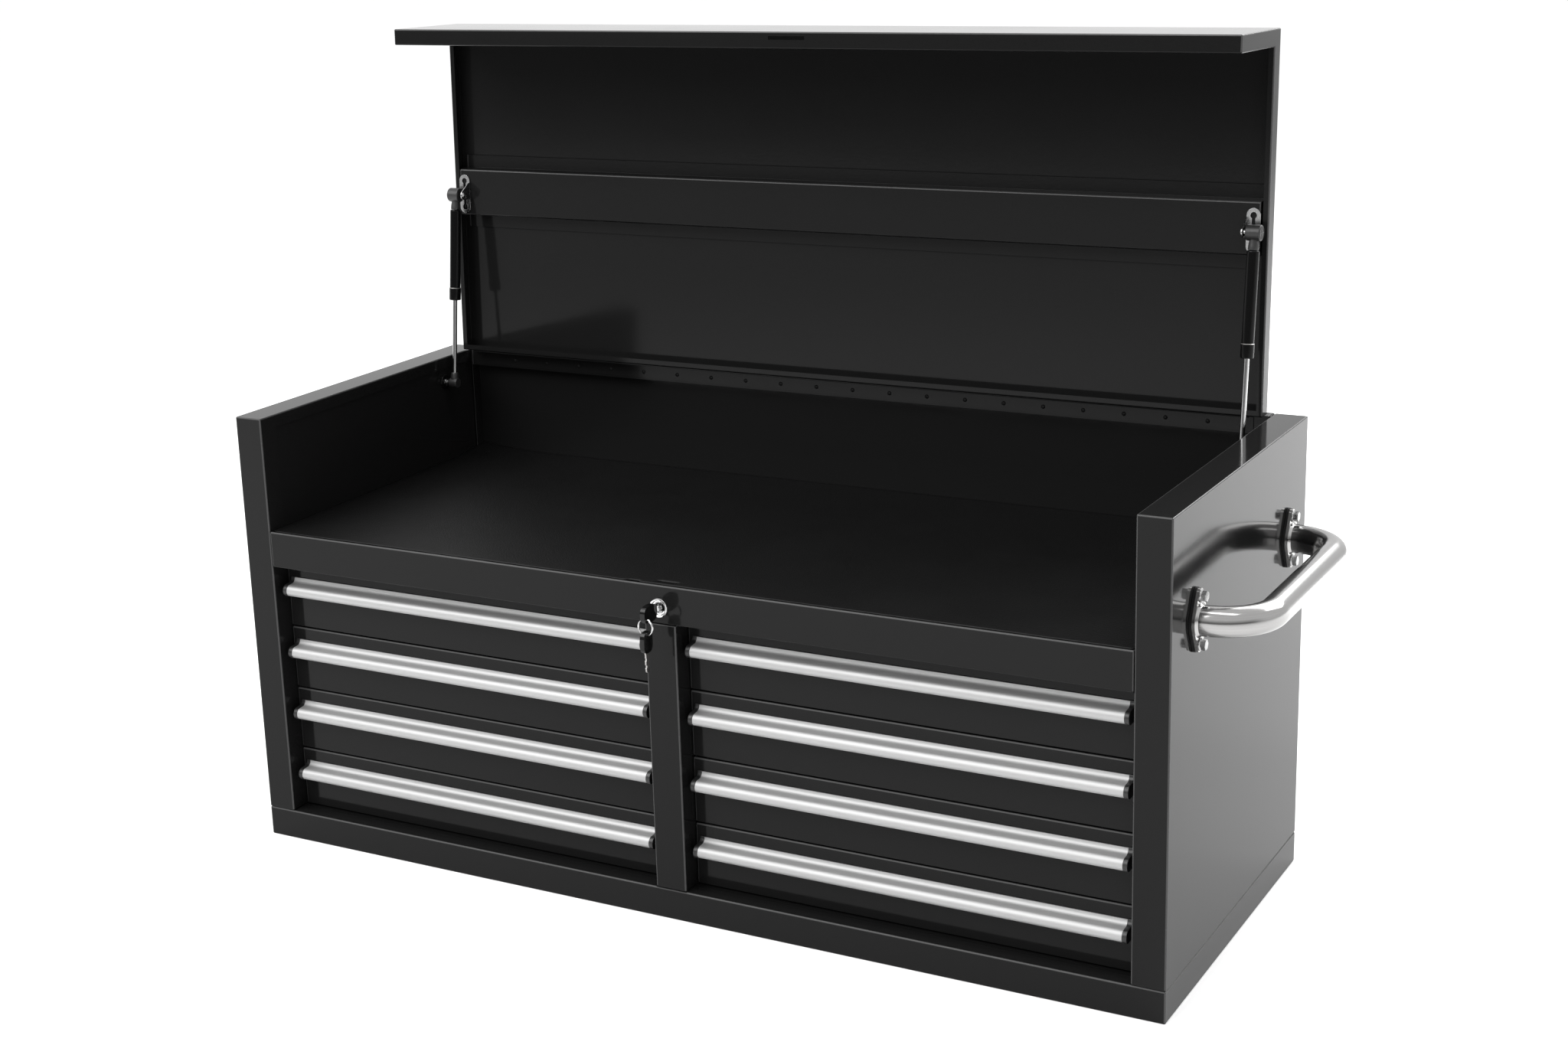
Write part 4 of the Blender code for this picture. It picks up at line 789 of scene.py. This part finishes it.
BRACKET_SHEET = 0.0015
BRACKET_FACE_DEPTH = 0.002
BALL_ABOVE_LOWEST = 0.008
BALL_ZONE = 0.004
KEYHOLE_RADIUS = 0.0036
KEYHOLE_SLOT = 0.0018
KEYHOLE_REACH = 0.0105
EAR_RADIUS = 0.0062
EAR_ANGLES = (205, 360)
EAR_REAR = 0.0150
EAR_ROOT = 0.0030
BRACKET_STUD_RADIUS = 0.0030
BRACKET_STUD = ((BRACKET_STUD_RADIUS, 0.0015), (0.0046, 0.0015), (0.0046, 0.0003),
                (0.0046, -0.0004), (0.0040, -0.0014), (0.0026, -0.0021), (0, -0.0024))


def build_bracket(side, way):
    """The lid's strut bracket: a keyhole plate, its upright ear and the riveted stud."""
    node = f"{side}_strut_bracket"
    swing_back = LID_SWING.inverted()
    points = [swing_back @ vertex.co for vertex in frame["nodes"][node].data.vertices]
    near_y = max(point.y for point in points)
    far_y = min(point.y for point in points)
    plate_top = max(point.z for point in points)
    ball_y = (near_y + far_y) / 2
    ball_z = min(point.z for point in points) + BALL_ABOVE_LOWEST
    plate_x = [abs(point.x) for point in points if point.z > plate_top - BRACKET_FACE_DEPTH]
    plate_in = min(plate_x)
    plate_out = max(plate_x)
    half_width = (plate_out - plate_in) / 2
    straight = (near_y - far_y) / 2 - half_width
    centre = (way * (plate_in + plate_out) / 2, ball_y, plate_top - BRACKET_SHEET / 2)

    outline = arc((0, straight), half_width, 0, 180, 24)
    outline += arc((0, -straight), half_width, 180, 360, 24)
    holes = []
    for end, turn in ((-1, 180), (1, 0)):
        eye = arc((0, end * straight), KEYHOLE_RADIUS, turn - 60, turn + 240, 20)
        stem = (0, end * (straight - KEYHOLE_REACH))
        holes.append(eye + arc(stem, KEYHOLE_SLOT, 180 - turn, 360 - turn, 8))
    flat = plate(outline, BRACKET_SHEET, holes, EDGE_ROUND)

    bend = plate_top - BRACKET_SHEET
    root = plate_top - EAR_ROOT
    ear_outline = [(ball_y - EAR_REAR, bend), (ball_y - EAR_REAR, root)]
    ear_outline += arc((ball_y, ball_z), EAR_RADIUS, *EAR_ANGLES, 20)
    ear_outline += [(ball_y + EAR_RADIUS, root), (ball_y + EAR_RADIUS, bend)]
    ear = plate(ear_outline, BRACKET_SHEET, (), EDGE_ROUND)
    ear_place = axes(Y_AXIS, Z_AXIS, X_AXIS, (way * (plate_in + BRACKET_SHEET / 2), 0, 0))

    reach = max(abs(point.x) for point in points if point.z < ball_z + BALL_ZONE) - plate_in
    stud = turned([(0, reach), (BRACKET_STUD_RADIUS, reach), *BRACKET_STUD], 28)
    stud_place = facing(way * X_AXIS, (way * plate_in, ball_y, ball_z))
    flat_place = shift(centre)
    bm = merged([moved(flat, flat_place), moved(ear, ear_place), moved(stud, stud_place)])
    finish_piece(f"{node}_pressed", bm, BRIGHT_ZINC, "lid", [node], LID_SWING)


# Lock and keys -------------------

LOCK_CENTRE = Vector(JOINTS["lock_turn"]["pos_m"])
BEZEL_RIM = ((-0.0034, -0.0022), (-0.0028, -0.0006), (-0.0022, -0.0001), (-0.0014, 0),
             (-0.0005, -0.0003), (0, -0.0012))
BEZEL_SEAT = 0.0003
BARREL_BORE = 0.0066
BORE_SHOULDER = 0.0030
BORE_MOUTH = 0.0022
BARREL_RADIUS = 0.0095
BARREL_BACK = -0.0200
PLUG_RADIUS = 0.0058
PLUG_FACE = 0.0030
PLUG_ROUND = 0.0004
KEYWAY_HALVES = (0.0014, 0.0041)
KEYWAY_POWER = 6.0

KEY_RING_HOLE = 0.0022
KEY_HALF_LENGTH = 0.0135
KEY_HEIGHT_SHARE = 0.92
KEY_THICKNESS_SHARE = 0.85
KEY_ROUND = 0.0015
KEY_BLADE_LENGTH = 0.0205
KEY_BLADE_LAP = 0.002
SPARE_LENGTH = 0.0245
SPARE_THICKNESS_SHARE = 1.6
SPARE_ROUND = 0.0012
SPARE_BLADE_LENGTH = 0.0268
SPARE_BLADE_LAP = 0.003

BLADE_HALF_HEIGHT = 0.0036
BLADE_THICKNESS = 0.0020
BLADE_ROUND = 0.0002
BLADE_POINT = 0.0018
BLADE_POINT_SHARES = (0.3, 0.35)
BLADE_CHIN = 0.0010
BIT_CUTS = (0.30, 0.55, 0.15, 0.45, 0.25)
BITS_SHORTER = 0.006
FIRST_BIT = 0.0028
BIT_FLAT_SHARE = 0.55
BIT_PEAK_SHARES = (0.78, 0.92)

RING_WIRE = 0.0007
RING_TURNS = 2
RING_STEPS = 96
RING_PITCH = 1.7
RING_START = 0.6


def rounded_outline(half_x, half_y, power=3.0, steps=56):
    """A superellipse, squarer than an oval."""
    points = []
    for i in range(steps):
        angle = tau * i / steps
        c = cos(angle)
        s = sin(angle)
        across = copysign(abs(c) ** (2 / power), c) * half_x
        points.append((across, copysign(abs(s) ** (2 / power), s) * half_y))
    return points


def build_lock():
    low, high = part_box("lock_barrel")
    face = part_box("header_rail")[0].y
    proud = face - low.y
    bezel = (high.x - low.x) / 2
    shoulder = (BARREL_BORE, proud - BORE_SHOULDER)
    profile = [
        shoulder, (BARREL_BORE, proud - BORE_MOUTH), *from_corner(bezel, proud, BEZEL_RIM),
        (bezel, BEZEL_SEAT), (BARREL_RADIUS, BEZEL_SEAT), (BARREL_RADIUS, BARREL_BACK),
        (BARREL_BORE, BARREL_BACK), shoulder,
    ]
    place = facing(-Y_AXIS, (LOCK_CENTRE.x, face, LOCK_CENTRE.z))
    finish_piece("lock_bezel", turned(profile, 64), LOCK_CHROME, "chest", ["lock_barrel"], place)

    plug_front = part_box("lock_plug")[0].y
    keyway = rounded_outline(*KEYWAY_HALVES, KEYWAY_POWER, 24)
    disc = plate(circle((0, 0), PLUG_RADIUS, 48), PLUG_FACE, [keyway], PLUG_ROUND)
    place = facing(-Y_AXIS, (LOCK_CENTRE.x, plug_front + PLUG_FACE / 2, LOCK_CENTRE.z))
    finish_piece("lock_plug_face", disc, LOCK_CHROME, "lock_plug", place=place)
    dress("lock_plug", LOCK_CHROME, 0)


def key_head(half_x, half_y, thickness, hole, round_width):
    """A plump moulded head with the hole for the ring."""
    hole = circle(hole, KEY_RING_HOLE)
    return plate(rounded_outline(half_x, half_y), thickness, [hole], round_width, 4)


def key_blade(length):
    """A blade with cut bittings along its lower edge; it runs along local X."""
    upper, lower = (BLADE_HALF_HEIGHT * share for share in BLADE_POINT_SHARES)
    peak_run, peak_depth = BIT_PEAK_SHARES
    top = [(0, BLADE_HALF_HEIGHT), (length - BLADE_POINT, BLADE_HALF_HEIGHT), (length, upper)]
    bottom = [(length - BLADE_CHIN, -lower)]
    pitch = (length - BITS_SHORTER) / len(BIT_CUTS)
    for i, cut in enumerate(BIT_CUTS):
        at = length - FIRST_BIT - i * pitch
        depth = -BLADE_HALF_HEIGHT * (1 - cut)
        bottom += [(at, depth), (at - pitch * BIT_FLAT_SHARE, depth)]
        bottom.append((at - pitch * peak_run, -BLADE_HALF_HEIGHT * peak_depth))
    bottom.append((0, -BLADE_HALF_HEIGHT))
    return plate(bottom[::-1] + top[::-1], BLADE_THICKNESS, (), BLADE_ROUND)


def build_keys():
    ring_low, ring_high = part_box("key_ring")
    ring_middle = (ring_low + ring_high) / 2
    ring_radius = (ring_high.z - ring_low.z) / 2 - RING_WIRE

    low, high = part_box("key_in_lock")
    half = (high - low) / 2
    centre = Vector((LOCK_CENTRE.x, low.y + KEY_HALF_LENGTH, LOCK_CENTRE.z))
    hole = (centre.y - ring_middle.y, ring_middle.z + ring_radius - centre.z)
    thickness = 2 * half.x * KEY_THICKNESS_SHARE
    head = key_head(KEY_HALF_LENGTH, half.z * KEY_HEIGHT_SHARE, thickness, hole, KEY_ROUND)
    place = axes(-Y_AXIS, Z_AXIS, -X_AXIS, centre)
    finish_piece("lock_key_head", head, KEY_PLASTIC, "lock_plug", ["key_in_lock"], place)
    root = centre + Y_AXIS * (KEY_HALF_LENGTH - KEY_BLADE_LAP)
    place = axes(Y_AXIS, Z_AXIS, X_AXIS, root)
    blade = key_blade(KEY_BLADE_LENGTH)
    finish_piece("lock_key_blade", blade, LOCK_CHROME, "lock_plug", place=place)

    coil = []
    for i in range(RING_STEPS + 1):
        angle = tau * RING_TURNS * i / RING_STEPS + RING_START
        along = (i / RING_STEPS - 0.5) * RING_TURNS * RING_PITCH * RING_WIRE
        out = Vector((ring_radius * sin(angle), along, ring_radius * cos(angle)))
        coil.append(ring_middle + out)
    ring = swept(coil, RING_WIRE, 10)
    finish_piece("split_ring", ring, LOCK_CHROME, "lock_plug", ["key_ring"])

    low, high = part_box("spare_key")
    half = (high - low) / 2
    centre = Vector((LOCK_CENTRE.x, ring_middle.y, high.z - SPARE_LENGTH / 2))
    hole = (0, ring_middle.z - ring_radius - centre.z)
    thickness = 2 * half.x * SPARE_THICKNESS_SHARE
    head = key_head(half.y, SPARE_LENGTH / 2, thickness, hole, SPARE_ROUND)
    place = axes(Y_AXIS, Z_AXIS, X_AXIS, centre)
    finish_piece("spare_key_head", head, KEY_PLASTIC, "spare_key", ["spare_key"], place)
    root = centre - Z_AXIS * (SPARE_LENGTH / 2 - SPARE_BLADE_LAP)
    place = axes(-Z_AXIS, Y_AXIS, X_AXIS, root)
    blade = key_blade(SPARE_BLADE_LENGTH)
    finish_piece("spare_key_blade", blade, DULL_NICKEL, "spare_key", place=place)


# Side handle ---------------------

TUBE_OUTER = 0.0160
HANDLE_BEND = 0.0550
HANDLE_START = 0.001
STRAIGHT_STEPS = 6
BEND_STEP_DEGREES = 5
BAR_STEPS = 9
FLANGE_THICKNESS = 0.0030
FLANGE_ROUND = 0.0007
GASKET_ROUND = 0.0004
GASKET_MARGIN = 0.0008
BOLT_HOLE = 0.0034
WELD_BEAD = ((-0.0005, 0.0030), (0.0004, 0.0022), (0.0013, 0.0011), (0.0022, 0.0003),
             (0.0024, -0.0004), (-0.0005, -0.0004), (-0.0005, 0.0030))
BOLT_PROFILE = ((0, 0.0022), (0.0048, 0.0022), (0.0060, 0.0016), (0.0067, 0.0010),
                (0.0068, 0.0005), (0.0066, 0.0001), (0.0029, 0.0001), (0.0029, -0.0150),
                (0.0022, -0.0160), (0, -0.0160))
HEX_RADIUS = 0.0058
HEX_HEIGHT = 0.0052
HEX_MIDDLE = 0.0042
HEX_ROUND = 0.0006
HEX_RIM_ABOVE = 0.0060
BOLT_TURNS = 7
BOLT_TURN = radians(8)


def flange_outline(middle_radius, end_radius, half_spacing, steps=120):
    """The outline around a middle circle and one small circle above and below it."""
    lean = (middle_radius - end_radius) / half_spacing
    points = []
    for i in range(steps):
        angle = tau * i / steps
        up = sin(angle)
        small = abs(up) >= lean
        centre = copysign(half_spacing, up) if small else 0.0
        radius = end_radius if small else middle_radius
        points.append((radius * cos(angle), centre + radius * up))
    return points


def handle_route(face_x, bar_x, rear_y, z):
    """The bent tube's centre line: out at the rear flange, along the bar, in at the front."""
    bend_x = bar_x - HANDLE_BEND
    route = [Vector((face_x + HANDLE_START, rear_y, z))]
    for i in range(1, STRAIGHT_STEPS):
        route.append(Vector((face_x + (bend_x - face_x) * i / STRAIGHT_STEPS, rear_y, z)))
    for degrees in range(90, -1, -BEND_STEP_DEGREES):
        angle = radians(degrees)
        y = rear_y - HANDLE_BEND + HANDLE_BEND * sin(angle)
        route.append(Vector((bend_x + HANDLE_BEND * cos(angle), y, z)))
    mirrored = [Vector((point.x, -point.y, point.z)) for point in reversed(route)]
    bar = [route[-1].lerp(mirrored[0], i / BAR_STEPS) for i in range(1, BAR_STEPS)]
    return route + bar + mirrored


def build_handle():
    low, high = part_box("side_handle")
    gaskets = {end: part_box(f"{end}_handle_gasket") for end in ("front", "rear")}
    middles = {end: (box_low + box_high) / 2 for end, (box_low, box_high) in gaskets.items()}
    bolt_low, bolt_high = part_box("front_upper_handle_bolt")
    z = (low.z + high.z) / 2
    half_spacing = (bolt_low.z + bolt_high.z) / 2 - z
    route = handle_route(low.x, high.x - TUBE_OUTER, middles["rear"].y, z)
    tube = swept(route, TUBE_OUTER, 48)
    finish_piece("handle_tube", tube, HANDLE_STEEL, "chest", ["side_handle"], smooth=50)

    holes = [circle((0, way * half_spacing), BOLT_HOLE) for way in (-1, 1)]
    for end, (gasket_low, gasket_high) in gaskets.items():
        y = middles[end].y
        radius = (gasket_high.y - gasket_low.y) / 2
        end_radius = (gasket_high.z - gasket_low.z) / 2 - half_spacing
        outline = flange_outline(radius - GASKET_MARGIN, end_radius - GASKET_MARGIN, half_spacing)
        flange = plate(outline, FLANGE_THICKNESS, holes, FLANGE_ROUND, 3)
        place = axes(Y_AXIS, Z_AXIS, X_AXIS, (low.x + FLANGE_THICKNESS / 2, y, z))
        finish_piece(f"{end}_handle_flange", flange, FLANGE_STEEL, "chest", place=place)

        seat = Vector((low.x + FLANGE_THICKNESS, y, z))
        bead = turned(from_corner(TUBE_OUTER, 0, WELD_BEAD), 72)
        place = facing(X_AXIS, seat)
        finish_piece(f"{end}_handle_weld", bead, FLANGE_STEEL, "chest", place=place)

        name = f"{end}_handle_gasket"
        outline = flange_outline(radius, end_radius, half_spacing)
        gasket = plate(outline, gasket_high.x - gasket_low.x, holes, GASKET_ROUND)
        place = axes(Y_AXIS, Z_AXIS, X_AXIS, (middles[end].x, y, z))
        finish_piece(f"{name}_moulded", gasket, GASKET_RUBBER, "chest", [name], place)
        for level, way in (("upper", 1), ("lower", -1)):
            build_bolt(f"{end}_{level}_handle_bolt", seat + Z_AXIS * way * half_spacing)


def build_bolt(node, seat):
    """A flanged hex bolt: a sloped collar, a chamfered hexagon and the shank behind it."""
    spin = (sum(map(ord, node)) % BOLT_TURNS) * BOLT_TURN
    head = plate(circle((0, 0), HEX_RADIUS, 6), HEX_HEIGHT)
    head = moved(head, shift((0, 0, HEX_MIDDLE)))
    rim = [edge for edge in head.edges if all(vertex.co.z > HEX_RIM_ABOVE for vertex in edge.verts)]
    bevel_edges(head, rim, HEX_ROUND, 2)
    bm = merged([turned(BOLT_PROFILE, 40), moved(head, Matrix.Rotation(spin, 4, "Z"))])
    place = facing(X_AXIS, seat)
    finish_piece(f"{node}_turned", bm, BRIGHT_ZINC, "chest", [node], place)


# Mat and hinge rivets ------------

MAT_CELLS = (220, 84)
MAT_SLOT_MARGIN = 0.0012
MAT_NOTCH = (-0.045, -0.027)
MAT_NOTCH_DEPTH = 0.0030
MAT_THINNER = 0.0002
TONGUE_DEPTH = 0.0020
LINE_CLEARANCE = 0.3
WANDER = 0.0009
WANDER_WAVES = 9.0
CURL_SHARES = (0.10, 0.22)
CURL_HEIGHT = 0.0075
RIPPLE_HEIGHT = 0.0005
RIPPLE_WAVES = (6.0, 8.0)
LEAF_THICKNESS = 0.0010
RIVET_COUNT = 20
RIVET_PITCH = 0.050
RIVET_BELOW_MIDDLE = 0.003
RIVET_HEAD = ((0, 0.0011), (0.0010, 0.00105), (0.0018, 0.0008), (0.0024, 0.0004),
              (0.0026, 0.0001), (0.0026, -0.0004), (0, -0.0004))


def lines_between(low, high, count, extra):
    """Evenly spaced grid lines, with the extra ones taking the place of any too near to them."""
    step = (high - low) / count
    near = step * LINE_CLEARANCE
    even = [low + step * i for i in range(count + 1)]
    kept = [at for at in even if at in (low, high) or all(abs(at - line) > near for line in extra)]
    return sorted(kept + list(extra))


def build_mat():
    """A loose rubber sheet: its front edge wanders and its rear left corner curls a little."""
    low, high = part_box("tray_mat")
    bar_low, bar_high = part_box("lock_bar")
    slot = (bar_low.x - MAT_SLOT_MARGIN, bar_high.x + MAT_SLOT_MARGIN,
            bar_low.y - MAT_SLOT_MARGIN, bar_low.y + TONGUE_DEPTH + MAT_SLOT_MARGIN)
    notch = (*MAT_NOTCH, low.y, low.y + MAT_NOTCH_DEPTH)
    across = lines_between(low.x, high.x, MAT_CELLS[0], (*slot[:2], *notch[:2]))
    deep = lines_between(low.y, high.y, MAT_CELLS[1], (*slot[2:], notch[3]))
    thickness = high.z - low.z - MAT_THINNER
    bm = bmesh.new()
    rows = []
    for y in deep:
        row = []
        for x in across:
            u = (x - low.x) / (high.x - low.x)
            v = (y - low.y) / (high.y - low.y)
            wander = noise.noise(Vector((x * WANDER_WAVES, 3.0, 0.0))) * WANDER * (1 - v) ** 4
            curl = max(0.0, 1 - hypot(u / CURL_SHARES[0], (1 - v) / CURL_SHARES[1]))
            ripple = noise.noise(Vector((x * RIPPLE_WAVES[0], y * RIPPLE_WAVES[1], 5.0)))
            swell = RIPPLE_HEIGHT * max(0.0, ripple) + CURL_HEIGHT * curl**2
            row.append(bm.verts.new((x, y + wander, low.z + thickness + swell)))
        rows.append(row)
    for j in range(len(deep) - 1):
        for i in range(len(across) - 1):
            x = (across[i] + across[i + 1]) / 2
            y = (deep[j] + deep[j + 1]) / 2
            if any(gap[0] < x < gap[1] and gap[2] < y < gap[3] for gap in (slot, notch)):
                continue
            bm.faces.new((rows[j][i], rows[j][i + 1], rows[j + 1][i + 1], rows[j + 1][i]))
    loose = [vertex for vertex in bm.verts if not vertex.link_faces]
    bmesh.ops.delete(bm, geom=loose, context="VERTS")
    mat = finish_piece("rubber_mat", bm, MAT_RUBBER, "chest", ["tray_mat"], smooth=60)
    sheet = mat.modifiers.new("thickness", "SOLIDIFY")
    sheet.thickness = thickness
    sheet.offset = -1


def build_rivets():
    low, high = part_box("hinge_leaf_body")
    face = high.y - LEAF_THICKNESS
    height = (low.z + high.z) / 2 - RIVET_BELOW_MIDDLE
    heads = []
    for i in range(RIVET_COUNT):
        x = (i - (RIVET_COUNT - 1) / 2) * RIVET_PITCH
        heads.append(moved(turned(RIVET_HEAD, 24), facing(-Y_AXIS, (x, face, height))))
    finish_piece("hinge_rivets", merged(heads), GLOSS_PAINT, "chest")


# Camera, floor and light ---------

CAMERA_AZIMUTH = radians(30.357)
CAMERA_ELEVATION = radians(15.517)
CAMERA_ROLL = radians(-2.171)
CAMERA_PLACE = (1.3138, -2.3711, 1.1833)
CAMERA_SETTINGS = {
    "lens": 55.04, "sensor_width": 36.0, "shift_x": 0.0529, "shift_y": -0.0090, "clip_end": 200,
}
FLOOR_CORNERS = ((-40, -9.5), (40, -9.5), (40, 40), (-40, 40))

# The studio's brightness by height, behind the chest and in front of it, and to the camera.
STUDIO_BEHIND = ((0.0, 1.05), (0.5, 1.15), (1.0, 1.15))
STUDIO_FRONT = ((0.0, 0.22), (0.10, 0.28), (0.45, 1.10), (1.0, 1.15))
STUDIO_TURN = (-0.45, 0.10)
STUDIO_SEEN = 1.1


def add_camera():
    cos_up = cos(CAMERA_ELEVATION)
    back = Vector((sin(CAMERA_AZIMUTH) * cos_up, -cos(CAMERA_AZIMUTH) * cos_up,
                   sin(CAMERA_ELEVATION)))
    level_right = Vector((cos(CAMERA_AZIMUTH), sin(CAMERA_AZIMUTH), 0))
    level_up = back.cross(level_right)
    right = level_right * cos(CAMERA_ROLL) + level_up * sin(CAMERA_ROLL)
    up = -level_right * sin(CAMERA_ROLL) + level_up * cos(CAMERA_ROLL)
    data = bpy.data.cameras.new("camera")
    for setting, value in CAMERA_SETTINGS.items():
        setattr(data, setting, value)
    camera = in_scene("camera", data)
    camera.matrix_world = axes(right, up, back, CAMERA_PLACE)
    bpy.context.scene.camera = camera


def add_floor():
    material = bpy.data.materials.new("pale_floor")
    material.use_nodes = True
    graph = Graph(material.node_tree)
    shader = material.node_tree.nodes["Principled BSDF"]
    place = graph.add("ShaderNodeTexCoord")
    clouds = graph.noise(place.outputs["Object"], scale=2.0, detail=3.0)
    shade = graph.spread(clouds, 0.985, 1.0)
    graph.feed(shader.inputs["Base Color"], graph.tinted((0.92, 0.92, 0.92), shade))
    shader.inputs["Roughness"].default_value = 0.9
    shader.inputs["Specular IOR Level"].default_value = 0.1
    bm = bmesh.new()
    bm.faces.new([bm.verts.new((x, y, 0)) for x, y in FLOOR_CORNERS])
    mesh = mesh_from("floor", bm)
    mesh.materials.append(material)
    floor = in_scene("floor", mesh)
    floor.location.z = cad_box[0].z


def add_softbox(name, location, target, size, power):
    data = bpy.data.lights.new(name, "AREA")
    data.shape = "RECTANGLE"
    data.size, data.size_y = size
    data.energy = power
    light = in_scene(name, data)
    location = Vector(location)
    aim = (location - Vector(target)).to_track_quat("Z", "Y")
    light.matrix_world = shift(location) @ aim.to_matrix().to_4x4()


def world_ramp(graph, height, stops):
    """Grey by height, from stops of height and value."""
    ramp = graph.add("ShaderNodeValToRGB")
    graph.feed(ramp.inputs[0], height)
    for element, (position, value) in zip(ramp.color_ramp.elements, (stops[0], stops[-1])):
        element.position = position
        element.color = grey(value)
    for position, value in stops[1:-1]:
        ramp.color_ramp.elements.new(position).color = grey(value)
    return ramp.outputs["Color"]


def add_world():
    world = bpy.data.worlds.new("studio")
    bpy.context.scene.world = world
    world.use_nodes = True
    graph = Graph(world.node_tree)
    place = graph.add("ShaderNodeTexCoord")
    split = graph.add("ShaderNodeSeparateXYZ")
    graph.feed(split.inputs[0], place.outputs["Generated"])
    behind = world_ramp(graph, split.outputs["Z"], STUDIO_BEHIND)
    front = world_ramp(graph, split.outputs["Z"], STUDIO_FRONT)
    turn = graph.add("ShaderNodeMapRange", interpolation_type="SMOOTHSTEP")
    graph.feed(turn.inputs["Value"], split.outputs["Y"])
    turn.inputs["From Min"].default_value, turn.inputs["From Max"].default_value = STUDIO_TURN
    studio = graph.mixed(turn.outputs["Result"], front, behind)
    rays = graph.add("ShaderNodeLightPath")
    seen = graph.mixed(rays.outputs["Is Camera Ray"], studio, grey(STUDIO_SEEN))
    backdrop = world.node_tree.nodes["Background"]
    graph.feed(backdrop.inputs["Color"], seen)
    backdrop.inputs["Strength"].default_value = 1.0


def add_lights():
    middle = (cad_box[0] + cad_box[1]) / 2
    add_softbox("key_softbox", (-1.6, -2.4, 3.0), middle, size=(3.4, 2.4), power=120)
    add_softbox("floor_softbox", (1.6, 2.8, 2.6), (1.4, 1.9, 0), size=(3.0, 2.4), power=155)
    add_softbox("top_strip", (0, -0.6, 3.0), (0, -0.6, 0), size=(3.2, 0.35), power=26)
    bpy.context.scene.view_settings.view_transform = "Standard"


dress_sheets()
build_pulls()
for side_name, side_way in SIDES.items():
    build_strut(side_name, side_way)
build_lock()
build_keys()
build_handle()
build_mat()
build_rivets()
add_camera()
add_floor()
add_world()
add_lights()
